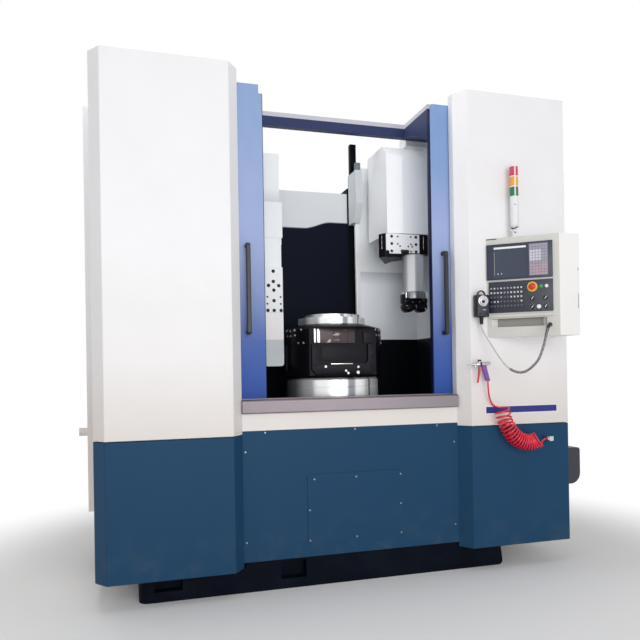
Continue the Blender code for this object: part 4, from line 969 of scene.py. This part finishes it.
class LatheHose(Operator):
    """Hang the curly air hose from its fitting to the grip of the air gun"""
    bl_idname = "lathe.air_hose"
    bl_label = "Air hose"

    def execute(self, context):
        size = context.scene.lathe_sizes
        coil = self.turns(size)
        tail, fitting = Vector(HOSE_TAIL), Vector(HOSE_END)
        into = (coil[1] - coil[0]).normalized()
        out = (coil[-1] - coil[-2]).normalized()
        down, along = Vector((0, 0, -GUN_LEAD[0])), Vector((END_LEAD[1], 0, 0))
        points = [tail] + hermite(tail, down, coil[0], into * GUN_LEAD[1], 18) + coil
        points += hermite(coil[-1], out * END_LEAD[0], fitting, along, 14) + [fitting]
        hose = cord_curve("air_hose_tube", points, size.hose, "hose")
        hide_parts("air_hose", "air_hose_coil")
        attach(hose, "frame")
        route_length(points)
        return {"FINISHED"}

    @staticmethod
    def turns(size, steps=20):
        """Points of the helix round its sagging axis, with the turns nearest the gun drawn open."""
        axis = smooth_route(COIL_AXIS, 0.004)
        total, start = route_length(axis), math.radians(HOSE_A0)
        turns = size.turns - start / math.tau + 0.05
        count, walked, index, out = round(turns * steps), 0.0, 0, []
        for i in range(count + 1):
            share = i / count
            left = 1 - share
            goal = total * (1 - (left * (1 - COIL_SPREAD) + COIL_SPREAD * left ** 3))
            while index < len(axis) - 2 and walked + (axis[index + 1] - axis[index]).length < goal:
                walked += (axis[index + 1] - axis[index]).length
                index += 1
            part = axis[index + 1] - axis[index]
            here = axis[index] + part.normalized() * (goal - walked)
            before, after = axis[max(0, index - 1)], axis[min(len(axis) - 1, index + 2)]
            now, then = (axis[index + 1] - before).normalized(), (after - axis[index]).normalized()
            ahead = now.lerp(then, (goal - walked) / part.length).normalized()
            side = (Vector((0, 1, 0)) - ahead * ahead.y).normalized()
            up = side.cross(ahead)
            angle = start + math.tau * turns * share
            reach = size.coil * (COIL_START + (1 - COIL_START) * min(1.0, share * COIL_GROWS))
            out.append(here + reach * (math.cos(angle) * up + math.sin(angle) * side))
        return out


class LatheStage(Operator):
    """Lay a plain floor and set soft studio lights"""
    bl_idname = "lathe.stage"
    bl_label = "Stage"

    def execute(self, context):
        studio = context.scene.lathe_studio
        bm = bmesh.new()
        bmesh.ops.create_grid(bm, x_segments=1, y_segments=1, size=20.0)
        mesh = bpy.data.meshes.new("floor")
        bm.to_mesh(mesh)
        bm.free()
        floor = placed("floor", mesh)
        mesh.materials.append(self.floor_finish())
        for name, place, target, size, power in (
                ("key_light", (-0.2, -7.4, 2.3), (0.0, -0.3, 1.5), 5.0, studio.key),
                ("fill_light", (-4.5, -4.0, 2.5), (0.0, -0.3, 1.4), 3.0, studio.fill),
                ("top_light", (0.0, -0.8, 6.4), (0.0, 0.0, 0.0), 4.0, studio.top),
                ("inner_light", (-1.5, 0.15, 4.2), (0.5, 0.1, 2.3), 1.2, studio.inner)):
            self.lamp(name, Vector(place), Vector(target), size, power)
        sky = Graph("studio", "worlds", "Background", Color=(1, 1, 1, 1), Strength=studio.sky)
        sky.whiten(1.0, "ShaderNodeBackground", "World Output")
        context.scene.world = sky.data
        context.scene.view_settings.view_transform = "Standard"
        return {"FINISHED"}

    @staticmethod
    def floor_finish():
        """Pale floor that keeps shadows near the machine and fades to white further off."""
        g = Graph("floor_finish", Roughness=0.8, Base_Color=(0.93, 0.93, 0.93, 1))
        x, y, _ = g.axes()
        far = g.math("SQRT", x * x + y * y).step(1.9, 3.2)
        g.whiten(far, "ShaderNodeEmission", "Material Output")
        return g.data

    @staticmethod
    def lamp(name, place, target, size, power):
        data = bpy.data.lights.new(name, "AREA")
        data.shape = "SQUARE"
        data.size = size
        data.energy = power
        placed(name, data).matrix_world = aim(place, place - target)


class LatheSpindle(Operator):
    """Turn the spindle housing and the chuck's face plate in full detail"""
    bl_idname = "lathe.spindle"
    bl_label = "Spindle"

    def execute(self, context):
        z0, z1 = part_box("spindle_housing")[0].z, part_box("spindle_housing")[1].z
        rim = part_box("spindle_housing")[1].x
        r = rim - 0.040
        profile = [(0, z0), (rim, z0), (rim, z0 + 0.026), (rim - 0.004, z0 + 0.030),
                   (r, z0 + 0.030)]
        for z in (z0 + 0.060, z1 - 0.060):
            profile += [(r, z), (r - 0.002, z + 0.002), (r - 0.002, z + 0.004), (r, z + 0.006)]
        profile += [(r, z1 - 0.013), (r - 0.013, z1), (0, z1)]
        piece("spindle_drum", [turned(profile, 128)], ["steel"],
              replaces=["spindle_housing"])
        lo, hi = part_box("chuck_face_plate")
        r, step, mid = hi.x, 0.170, lo.z + 0.0205
        top = lo.z + 0.045
        profile = [(0, lo.z), (r - 0.003, lo.z), (r, lo.z + 0.003), (r, mid), (r - 0.003, mid),
                   (r - 0.003, mid + 0.004), (r, mid + 0.004), (r, top - 0.002), (r - 0.002, top),
                   (step, top), (step, hi.z - 0.003), (step - 0.003, hi.z), (0.060, hi.z),
                   (0.056, hi.z - 0.004), (0.030, hi.z - 0.004), (0.028, hi.z - 0.012),
                   (0, hi.z - 0.012)]
        piece("chuck_top_disc", [turned(profile, 128)], ["steel"], "chuck",
              ["chuck_face_plate"])
        return {"FINISHED"}


class LatheChuck(Operator):
    """Build the chuck drum with its three jaw stations"""
    bl_idname = "lathe.chuck"
    bl_label = "Chuck"

    def execute(self, context):
        z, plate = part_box("chuck_body")[0].z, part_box("chuck_face_plate")[1].x
        r, h = CHUCK_RADIUS, CHUCK_HEIGHT
        profile = [(0, z), (r - 0.013, z), (r, z + 0.014), (r, z + 0.196), (r - 0.002, z + 0.198),
                   (r - 0.002, z + 0.201), (r, z + 0.203), (r, z + h - 0.032),
                   (r - 0.008, z + h - 0.024), (plate + 0.012, z + h), (plate - 0.004, z + h),
                   (0, z + h)]
        flats = together([self.turn(block((-r, -2 * r, z + 0.015), (r, CHUCK_FLAT, z + 0.305)), k)
                          for k in range(3)])
        parts = [(carved(turned(profile, 128), flats), None)]
        for k in range(3):
            parts += [(self.turn(bm, k), index) for bm, index in self.station(z)]
        piece("chuck_drum", parts, ["black", "black", "frame_grey", "bronze", "ground", "fittings"],
              "chuck", ["chuck_body"])
        return {"FINISHED"}

    @staticmethod
    def turn(bm, k):
        return moved(bm, Matrix.Rotation(math.tau * k / 3, 4, "Z"))

    @staticmethod
    def station(z):
        """U-shaped frame, jaw block, key and screws of one flat."""
        w, c, low, top = 0.205, 0.030, z + 0.018, z + 0.206
        inner, sill, cut, base, high = w - 0.048, low + 0.068, 0.016, top + 0.006, z + 0.302
        flat, face = CHUCK_FLAT + 0.0005, -0.254
        outline = [(-w, top), (-w, low + c), (-w + c, low), (w - c, low), (w, low + c), (w, top),
                   (inner, top), (inner, sill + cut), (inner - cut, sill), (-inner + cut, sill),
                   (-inner, sill + cut), (-inner, top)]
        parts = [(prism(outline, face, flat, "XZ", 0.0025), 2)] + blocks(
            (3, (-0.188, -0.247, base), (0.074, flat, high), 0.0015),
            (2, (0.130, -0.247, base), (0.190, flat, high - 0.020), 0.0015),
            (4, (-0.1885, -0.2485, base + 0.002), (-0.1775, -0.240, high - 0.002), 0.001),
            (4, (-0.168, -0.2485, base + 0.002), (-0.151, -0.240, high - 0.002), 0.001),
            *[(2, (a, -0.2476, base), (a + 0.002, -0.240, high), 0.0005)
              for a in (-0.062, -0.020, 0.024)],
            (4, (-0.085, -0.2545, sill - 0.004), (0.055, -0.250, sill + 0.0006), 0.0008),
            (2, (-0.140, -0.240, sill + 0.020), (0.120, flat, top - 0.012), 0.001))
        bright = [(x, face, low + up) for x, up in ((0.010, 0.024), (0.024, 0.009),
                                                    (-0.120, 0.050), (0.090, 0.046))]
        dark = [(x, face, up) for x in (-0.181, 0.181)
                for up in (low + 0.060, low + 0.110, top - 0.018)]
        parts += [(screws(bright, FRONT, 0.008, 0.005), 5), (screws(dark, FRONT, 0.007, 0.004), 2),
                  (bolt((0.088, face, low + 0.012), FRONT, 0.011, 0.006), 5)]
        for turn, up in ((-62, 0.296), (-53, 0.296), (-62, 0.264), (-50, 0.215), (-57, 0.215),
                         (42, 0.296), (50, 0.292), (57, 0.296), (44, 0.262), (51, 0.262)):
            a = math.radians(turn - 90)
            away = Vector((math.cos(a), math.sin(a), 0))
            at = away * (CHUCK_RADIUS - 0.0002) + Vector((0, 0, z + up))
            parts.append((bolt(at, away, 0.0065, 0.003), 5))
        return parts


class LatheToolBlock(Operator):
    """Cut the left tool block with its pattern of holes"""
    bl_idname = "lathe.tool_block"
    bl_label = "Left tool block"

    def execute(self, context):
        lo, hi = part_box("left_tool_block")
        large = ((.497, .092), (.492, .317), (.236, .406), (.779, .406), (.518, .507), (.518, .737),
                 (.186, .951), (.518, .951), (.884, .951))
        small = ((.166, .656), (.869, .656), (.166, .806), (.869, .806))
        holes = []
        for spots, r in ((large, 0.011), (small, 0.006)):
            for u, v in spots:
                x, z = lo.x + (hi.x - lo.x) * u, hi.z - (hi.z - lo.z) * v
                holes.append(bar(r, r, (x, lo.y - 0.004, z), (x, lo.y + 0.014, z), 24))
        for z in (lo.z + 0.07, hi.z - 0.07):
            holes.append(bar(0.009, 0.009, (hi.x + 0.004, 0.04, z), (hi.x - 0.012, 0.04, z), 24))
        body = carved(block(lo, hi, 0.0025), together(holes))
        piece("left_tool_plate", [(body, None)], ["block", "rubber"], "left_post",
              ["left_tool_block"])
        return {"FINISHED"}


class LatheTurret(Operator):
    """Cut the turret's face plate, add two bright bars as painted highlights on its edges, and
    build the boring bar under it
    """
    bl_idname = "lathe.turret"
    bl_label = "Turret plate and boring bar"

    def execute(self, context):
        self.plate()
        self.boring_bar()
        return {"FINISHED"}

    @staticmethod
    def plate():
        x0, x1, x2, x3, x4 = (TURRET_AT[0] + a for a in (-0.148, -0.125, -0.041, 0.015, 0.091))
        top, tab, left, right, low = (TURRET_AT[1] - a for a in (0.004, 0.107, 0.115, 0.128, 0.135))
        pts = [(x0, top), (x0, left), (x1, left), (x1, low), (x2, low), (x2, tab), (x3, tab),
               (x3, right), (x4, right), (x4, top)]
        large = [(u, v) for u in (.164, .896) for v in (.135, .507, .878)]
        small = ((.344, .135), (.344, .507), (.412, .622), (.66, .622), (.74, .507), (.74, .135),
                 (.78, .622), (.74, .878))
        holes = []
        for spots, r in ((large, 0.010), (small, 0.006)):
            for u, v in spots:
                x, z = x0 + (x4 - x0) * u, top - (top - low) * v
                holes.append(bar(r, r, (x, -0.060, z), (x, -0.0525, z), 20))
        parts = [(carved(prism(pts, -0.0563, -0.0503, "XZ", 0.0008), together(holes)), None),
                 (block((0.475, -0.0580, 2.012), (0.535, -0.0503, 2.026), 0.001), 1)]
        piece("turret_front_plate", parts, ["plate_white", "rubber"], "turret_head",
              ["turret_face_plate"])
        # Two thin bright bars on the turret's edges are painted highlights.
        streaks = [bar(0.0012, 0.0012, (0.6425, -0.0506, 2.032), (0.6425, -0.0506, 2.124), 8),
                   bar(0.0012, 0.0012, (0.3530, -0.0266, 2.030), (0.3530, -0.0266, 2.122), 8)]
        piece("turret_painted_highlights", streaks, ["fittings"], "turret_head")

    @staticmethod
    def boring_bar():
        (x, y), z = BAR_AT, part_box("boring_bar_sleeve")[1].z
        low, ring, front = z - 0.248, z - 0.295, y - 0.0355
        at = Matrix.Translation((x, y, 0))
        parts = turnings(
            (0, 64, at, [(0, z), (0.070, z), (0.072, z - 0.002), (0.072, low + 0.001),
                         (0.071, low), (0, low)]),
            (1, 64, at, [(0, low - 0.0005), (0.060, low - 0.0005), (0.060, low - 0.003),
                         (0.074, low - 0.003), (0.0755, low - 0.006), (0.0755, ring), (0, ring)]))
        parts += blocks(
            *[(2, (x + a, y - 0.058, ring + 0.001), (x + b, y + 0.010, low - 0.004), 0.003)
              for a, b in ((-0.0835, -0.062), (0.043, 0.0835))],
            *[(3, (x + a, y - 0.032, ring - 0.030), (x + b, y + 0.032, ring + 0.034), 0.0035, 3)
              for a, b in ((-0.0865, -0.0775), (0.0775, 0.0865))],
            (3, (x - 0.050, y - 0.034, ring - 0.072), (x + 0.050, y + 0.034, ring + 0.0005), 0.003),
            (2, (x + 0.063, front - 0.0015, ring - 0.078), (x + 0.073, front + 0.002, ring - 0.060),
             0.001))
        for lobe in (x - 0.048, x + 0.048):
            nose = Vector((lobe, y - 0.035, ring - 0.053))
            parts.append((bar(0.037, 0.037, nose, nose + Vector((0, 0.070, 0)), 40, 0.003), 3))
            parts += turnings((4, 24, aim(nose, FRONT), [
                (0, 0), (0.016, 0), (0.016, 0.002), (0.013, 0.004), (0.011, 0.004), (0.010, 0.001),
                (0, 0.001)]))
        parts += [(bolt((x + a, front, ring + b), FRONT, r, 0.003), 5)
                  for a, b, r in ((-0.066, -0.048, 0.005), (-0.060, -0.066, 0.004),
                                  (0.0, -0.046, 0.005), (0.003, -0.060, 0.004),
                                  (-0.025, -0.022, 0.004), (0.026, -0.022, 0.004))]
        piece("boring_bar", parts,
              ["sleeve", "dull_steel", "ground", "black", "frame_grey", "fittings"],
              "turret_head", ["boring_bar_sleeve"])


class LatheTrims(Operator):
    """Add the screws, the bright column strip, the plain blue strip, the control box's marks and a
    painted shadow on its face
    """
    bl_idname = "lathe.trims"
    bl_label = "Trims and screws"

    def execute(self, context):
        strip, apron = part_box("apron_top_strip")[0].y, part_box("front_apron")[0].y
        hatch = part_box("inspection_hatch")[0].y
        spots = [(x, strip, 0.888) for x in (-0.542, -0.008, 0.519)]
        spots += [(x, apron, z) for x in (-0.655, 0.633) for z in (0.784, 0.280)]
        piece("apron_screws", [screws(spots, FRONT, 0.0055, 0.003)], ["dull_steel"])
        spots = [(x, hatch, 0.610) for x in (-0.261, -0.007, 0.273)]
        spots += [(x, hatch, z) for x in (-0.290, 0.273) for z in (0.435, 0.262)]
        spots.append((-0.007, hatch, 0.262))
        piece("hatch_screws", [screws(spots, FRONT, 0.0055, 0.003)], ["dull_steel"])
        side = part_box("right_column_cover")[0]
        edge = prism([(side.x - 0.032, 0.372), (side.x - GAP, 0.372), (side.x - GAP, 0.3995),
                      (side.x - 0.029, 0.3995), (side.x - 0.032, 0.396)], 1.63, 2.43, "XY", 0.001)
        rail = block((side.x - 0.014, 0.372, 1.06), (side.x - GAP, 0.398, 1.63), 0.001)
        piece("column_edge_strip", [edge, rail], ["plate_white"])
        y = CABINET_FRONT
        rim = block((0.807, y - 0.0006, 0.951), (1.315, y, 0.998), 0.0002, 1)
        field = block((0.811, y - 0.0012, 0.955), (1.311, y - 0.0004, 0.994), 0.0002, 1)
        piece("bare_label_strip", [rim, (field, 1)], ["mark_white", "label_blue"])
        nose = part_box("control_box")[0].y - 0.0010
        marks = [bar(0.0022, 0.0022, (1.283, nose, low), (1.283, nose, high), 12)
                 for low, high in ((1.576, 1.662), (1.799, 1.815))]
        # A thin dark strip above the display's left end is a painted shadow.
        edge = moved(block((0.000, -0.0020, 2.0080), (0.062, 0.0, 2.0130), 0.0004, 1), FACE)
        piece("control_box_marks_and_shadow", [*marks, (edge, 1)], ["dull_steel", "mark_dark"])
        return {"FINISHED"}


class LatheDisplay(Operator):
    """Build the display unit and the operator panel on the slanted face"""
    bl_idname = "lathe.display"
    bl_label = "Display and operator panel"

    def execute(self, context):
        self.display()
        self.panel()
        return {"FINISHED"}

    @staticmethod
    def display():
        s, z, f = 0.003, 1.762, -0.0123     # left edge along the face, foot, front
        hole = block((s + 0.037, -0.03, z + 0.012), (s + 0.235, f + 0.005, z + 0.202))
        shell = block((s, f, z), (s + 0.378, -GAP, z + 0.214), 0.002)
        parts = [(carved(shell, hole), None)] + blocks(
            (2, (s + 0.0372, f + 0.0042, z + 0.0122), (s + 0.2348, f + 0.0051, z + 0.2018)),
            # A thin white strip along the top of the screen is a painted highlight.
            (3, (s + 0.043, f + 0.0034, z + 0.184), (s + 0.229, f + 0.0044, z + 0.196), 0.0002, 1),
            (4, (s + 0.0445, f + 0.0036, z + 0.028), (s + 0.0470, f + 0.0044, z + 0.166)),
            (5, (s + 0.246, f - 0.0012, z + 0.012), (s + 0.352, f + 0.001, z + 0.202), 0.0008))
        parts += [(bolt((s + a, f + 0.0044, z + 0.035), FRONT, 0.0032, 0.001), 3)
                  for a in (0.066, 0.087)]
        for column in range(6):
            for row in range(11):
                a, b = s + 0.2495 + column * 0.01675, z + 0.0155 + row * 0.0168
                tone = 8 if row < 4 else 7 if 5 <= row < 9 and column < 4 else 6
                parts += blocks((tone, (a, f - 0.0028, b), (a + 0.0148, f - 0.0004, b + 0.0146),
                                 0.0006, 1))
        for bm, _ in parts:
            moved(bm, FACE)
        piece("display_front", parts,
              ["bezel", "bezel", "screen", "mark_white", "dull_steel", "pad_film", "key_lilac",
               "key_pale", "key_pink"],
              replaces=["display_unit"])

    @staticmethod
    def panel():
        s0, z0, f = 0.013, 1.562, -0.0083   # left edge along the face, foot, front
        dim, mid, bright = 2, 3, 4
        levels = ([dim] * 10,
                  [dim, bright, bright, dim, dim, dim, dim, dim, dim, bright],
                  [dim, dim, dim, mid, dim, dim, bright, bright, bright, bright],
                  [bright] * 4 + [mid, mid] + [bright] * 4,
                  [mid, bright, mid, bright, mid, mid, mid, bright, bright, bright])
        parts = blocks(
            (0, (s0, f, z0), (s0 + 0.368, -GAP, z0 + 0.188), 0.0015),
            (1, (s0 + 0.2005, f - 0.0005, z0 + 0.008), (s0 + 0.2025, f + 0.001, z0 + 0.180)))
        for row, line in enumerate(levels):
            for column, tone in enumerate(line):
                a, b = s0 + 0.008 + column * 0.0194, z0 + 0.034 + row * 0.0267
                parts += blocks(
                    (1, (a, f - 0.0040, b), (a + 0.013, f + 0.001, b + 0.013), 0.0009),
                    (tone, (a + 0.0016, f - 0.0046, b + 0.0016),
                     (a + 0.0114, f - 0.0032, b + 0.0114), 0.0004, 1))

        def knob(at, profile, index, sides=32):
            placing = aim(Vector((s0 + at[0], f, z0 + at[1])), FRONT)
            parts.append((turned(profile, sides, placing), index))

        def turned_mark(at, degrees, index, *box):
            spot = Matrix.Translation((s0 + at[0], f, z0 + at[1]))
            mark = moved(block(*box), spot @ Matrix.Rotation(math.radians(degrees), 4, "Y"))
            parts.append((mark, index))

        stop = (0.2515, 0.1467)
        knob(stop, [(0, -0.0005), (0.030, -0.0005), (0.030, 0.002), (0.029, 0.0035),
                    (0.012, 0.0035), (0.012, 0.002), (0, 0.002)], 5, 48)
        knob(stop, [(0, 0.001), (0.0105, 0.001), (0.0105, 0.014), (0.017, 0.0155),
                    (0.0195, 0.018), (0.020, 0.021), (0.0195, 0.025), (0.016, 0.0285),
                    (0.009, 0.030), (0, 0.0303)], 6, 48)
        for at in ((0.252, 0.078), (0.327, 0.078), (0.252, 0.0276), (0.327, 0.0276)):
            knob(at, [(0, -0.0005), (0.013, -0.0005), (0.013, 0.003), (0.012, 0.0042),
                      (0.0105, 0.0045), (0.0098, 0.0150), (0.0088, 0.0162), (0, 0.0162)], 1, 24)
            turned_mark(at, 35, 7, (-0.0018, -0.0175, -0.0095), (0.0018, -0.0155, 0.0095), 0.0006)
            for i in range(7 if at[1] < 0.05 else 0):
                turned_mark(at, -130 + i * 43.3, 4, (-0.0008, -0.0006, 0.0165), (0.0008, 0, 0.0200))
        button = [(0, -0.0005), (0.010, -0.0005), (0.010, 0.0025), (0.0088, 0.003), (0.0080, 0.003),
                  (0.0080, 0.0062), (0.0072, 0.007), (0, 0.007)]
        knob((0.301, 0.147), button, 8, 24)
        knob((0.332, 0.147), button, 7, 24)
        knob((0.288, 0.0276), [(r * 1.25, h) for r, h in button], 7, 24)
        for bm, _ in parts:
            moved(bm, FACE)
        piece("operator_keys", parts, ["panel", "black_plastic", "key_dim", "key_mid", "key_bright",
                                       "yellow", "red", "mark_white", "green"],
              replaces=["operator_panel"])


class LatheTower(Operator):
    """Build the signal tower with its three lamps on a tilted joint"""
    bl_idname = "lathe.signal_tower"
    bl_label = "Signal tower"

    def execute(self, context):
        z, end = (corner.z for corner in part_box("signal_tower"))
        (x, y), r, lamp = TOWER_AT, 0.025, 0.0617
        cup, top = z + 0.066, z + 0.256
        at = Matrix.Translation((x, y, 0))
        tilt = aim(Vector((x, y, cup - 0.006)), (-0.50, -0.30, 0.80))
        parts = turnings(
            (0, 32, at, [(0, z), (0.036, z), (0.036, z + 0.006), (0.034, z + 0.008),
                         (0.016, z + 0.008), (0.014, z + 0.012), (0.014, cup + 0.002),
                         (0, cup + 0.002)]),
            (0, 48, at, [(0, cup), (0.012, cup), (0.019, cup + 0.006), (r, cup + 0.020),
                         (r, cup + 0.068), (r - 0.001, cup + 0.069), (r - 0.001, cup + 0.071),
                         (r, cup + 0.072), (r, top - 0.001), (r - 0.001, top), (0, top)]),
            (0, 32, tilt, [(0, -0.006), (0.028, -0.006), (0.031, -0.003), (0.031, 0.003),
                           (0.028, 0.006), (0, 0.006)]),
            (4, 32, tilt, [(0.0, 0.0062), (0.019, 0.0062), (0.019, 0.010), (0.0, 0.010)]),
            (0, 32, at, [(0, end - 0.006), (r - 0.004, end - 0.006), (r - 0.004, end - 0.002),
                         (r - 0.007, end), (0, end)]))
        for low, lens in ((top, 3), (top + lamp, 2), (top + 2 * lamp, 1)):
            joint, high = low + 0.0545, low + lamp
            parts += turnings(
                (lens, 48, at, [(0, low), (r - 0.003, low), (r - 0.003, low + 0.003),
                                (r, low + 0.0035), (r, joint), (0, joint)]),
                (0, 48, at, [(0, joint), (r + 0.0003, joint), (r + 0.0003, high - 0.001),
                             (r - 0.001, high), (0, high)]))
        a = math.radians(-112)
        away = Vector((math.cos(a), math.sin(a), 0))
        parts += [(bolt(Vector((x, y, up)) + away * reach, away, radius, 0.002), 4)
                  for up, reach, radius in ((2.218, r, 0.0035), (2.050, 0.014, 0.0040))]
        piece("signal_lamps", parts,
              ["tower_white", "lamp_red", "lamp_amber", "lamp_green", "mark_dark"],
              replaces=["signal_tower"])
        return {"FINISHED"}


class LathePendant(Operator):
    """Build the handwheel pendant with its dial, hanger and ribbed boot"""
    bl_idname = "lathe.pendant"
    bl_label = "Handwheel pendant"

    def execute(self, context):
        x, y0, y1, dial, shoulder = PENDANT_X, -0.5926, -0.5426, 1.632, 1.670
        middle = (y0 + y1) / 2
        parts = blocks(
            (0, (x - 0.040, y0, 1.537), (x + 0.040, y1, shoulder), 0.006, 3),
            (1, (x - 0.034, y0 - 0.0010, 1.543), (x + 0.034, y0 + 0.002, 1.600), 0.001),
            (4, (x - 0.006, y0 - 0.0018, 1.575), (x + 0.017, y0 - 0.0009, 1.583), 0.0003, 1),
            (0, (x + 0.0395, y0 + 0.010, 1.612), (x + 0.0465, y0 + 0.032, 1.640), 0.002))
        parts += turnings((2, 48, aim(Vector((x, y0, dial)), FRONT), [
            (0, -0.001), (0.033, -0.001), (0.033, 0.002), (0.0315, 0.003), (0.0280, 0.003),
            (0.0275, 0.012), (0.0262, 0.0135), (0.0245, 0.014), (0.012, 0.0135), (0.011, 0.012),
            (0, 0.012)]))
        parts.append((bolt((x - 0.008, y0 - 0.0125, dial - 0.006), FRONT, 0.0095, 0.006, 24), 0))
        for i in range(20):
            spot = Matrix.Translation((x, y0 - 0.0030, dial))
            tick = block((-0.0005, -0.0004, 0.0288), (0.0005, 0.0, 0.0312))
            parts.append((moved(tick, spot @ Matrix.Rotation(math.tau * i / 20, 4, "Y")), 3))
        parts += [(bolt((x + a, y0 - 0.001, 1.556), FRONT, 0.006, 0.004, 20), 0)
                  for a in (-0.022, 0.022)]
        z = PENDANT_Z0 + GAP
        boot = [(0, z), (0.0085, z)]
        for i in range(6):
            r = 0.0090 + i * 0.0006
            boot += [(r, z + 0.0010), (r + 0.0012, z + 0.0022), (r + 0.0012, z + 0.0048),
                     (r, z + 0.0060)]
            z += 0.0070
        boot += [(0.0145, z), (0.0145, 1.5385), (0, 1.5385)]
        parts += turnings((5, 24, Matrix.Translation((x, middle, 0)), boot))
        arc, foot = [math.pi * i / 12 for i in range(13)], shoulder - 0.005
        ring = [(x + 0.028, foot)]
        ring += [(x + 0.028 * math.cos(a), shoulder + 0.028 * math.sin(a)) for a in arc]
        ring += [(x - 0.028, foot), (x - 0.0205, foot)]
        ring += [(x - 0.0205 * math.cos(a), shoulder + 0.0205 * math.sin(a)) for a in arc]
        ring += [(x + 0.0205, foot)]
        parts.append((prism(ring, middle - 0.006, middle + 0.006, "XZ", 0.0015), 0))
        piece("handwheel_pendant", parts,
              ["black_plastic", "dark_grey", "fittings", "mark_white", "dull_steel", "rubber"],
              replaces=["pendant"])
        return {"FINISHED"}


class LatheGun(Operator):
    """Build the air gun with its nozzle, lever and grip"""
    bl_idname = "lathe.air_gun"
    bl_label = "Air gun"

    def execute(self, context):
        y = HOSE_TAIL[1]
        bars = (                        # finish, two radii, two ends in x and z, sides, rounding
            (0, 0.0026, 0.0042, 0.6630, 1.2488, 0.7040, 1.2508, 20, 0),
            (0, 0.0060, 0.0088, 0.7000, 1.2506, 0.7220, 1.2522, 24, 0),
            (0, 0.0112, 0.0112, 0.7200, 1.2520, 0.8130, 1.2586, 32, 0.0015),
            (0, 0.0090, 0.0074, 0.8120, 1.2585, 0.8180, 1.2590, 24, 0),
            (1, 0.0128, 0.0128, 0.7440, 1.2537, 0.7575, 1.2546, 32, 0.001),
            (0, 0.0065, 0.0065, 0.7445, 1.2600, 0.7445, 1.2720, 20, 0),
            (1, 0.0120, 0.0100, 0.7445, 1.2700, 0.7445, 1.2815, 28, 0.0015),
            (0, 0.0058, 0.0058, 0.7162, 1.2470, 0.7162, 1.2355, 20, 0.001),
            (0, 0.0085, 0.0070, 0.7990, 1.1560, 0.7990, 1.1520, 20, 0))
        parts = [(bar(r1, r2, (x1, y, z1), (x2, y, z2), sides, edge), index)
                 for index, r1, r2, x1, z1, x2, z2, sides, edge in bars]
        lever = [(0.738, 1.2440), (0.7485, 1.2440), (0.7475, 1.2150), (0.7430, 1.1850),
                 (0.7365, 1.1520), (0.7345, 1.1420), (0.7262, 1.1425), (0.7275, 1.1560),
                 (0.7330, 1.1850), (0.7370, 1.2150)]
        grip = [(0.7561, 1.2470), (0.7860, 1.2480), (0.7920, 1.2200), (0.8020, 1.1850),
                (0.8108, 1.1560), (0.8060, 1.1522), (0.7880, 1.1522), (0.7832, 1.1560),
                (0.7750, 1.1850), (0.7640, 1.2200)]
        parts += [(prism(lever, y - 0.0055, y + 0.0055, "XZ", 0.002), 2),
                  (prism(grip, y - 0.0105, y + 0.0105, "XZ", 0.0035, 3), 3)]
        piece("blow_gun", parts, ["fittings", "black_plastic", "gun_red", "grip"],
              replaces=["air_gun"])
        return {"FINISHED"}


STEPS = (LatheFinishes, LatheCamera, LatheCable, LatheHose, LatheStage, LatheSpindle, LatheChuck,
         LatheToolBlock, LatheTurret, LatheTrims, LatheDisplay, LatheTower, LathePendant, LatheGun)


class LathePanel(Panel):
    """Steps that dress the lathe, in order"""
    bl_idname = "VIEW3D_PT_lathe"
    bl_label = "Vertical turning lathe"
    bl_space_type = "VIEW_3D"
    bl_region_type = "UI"
    bl_category = "Lathe"

    def draw(self, context):
        for step in STEPS:
            self.layout.operator(step.bl_idname)


SETTINGS = {"lathe_colours": LatheColours, "lathe_sizes": LatheSizes, "lathe_studio": LatheStudio}


def register():
    for cls in (*SETTINGS.values(), *STEPS, LathePanel):
        bpy.utils.register_class(cls)
    for name, group in SETTINGS.items():
        setattr(bpy.types.Scene, name, PointerProperty(type=group))


def unregister():
    for name in SETTINGS:
        delattr(bpy.types.Scene, name)
    for cls in (LathePanel, *reversed(STEPS), *reversed(SETTINGS.values())):
        bpy.utils.unregister_class(cls)


def main():
    """Dress the frame, step by step."""
    register()
    for step in STEPS:
        group, name = step.bl_idname.split(".")
        getattr(getattr(bpy.ops, group), name)()


if __name__ == "__main__":
    main()
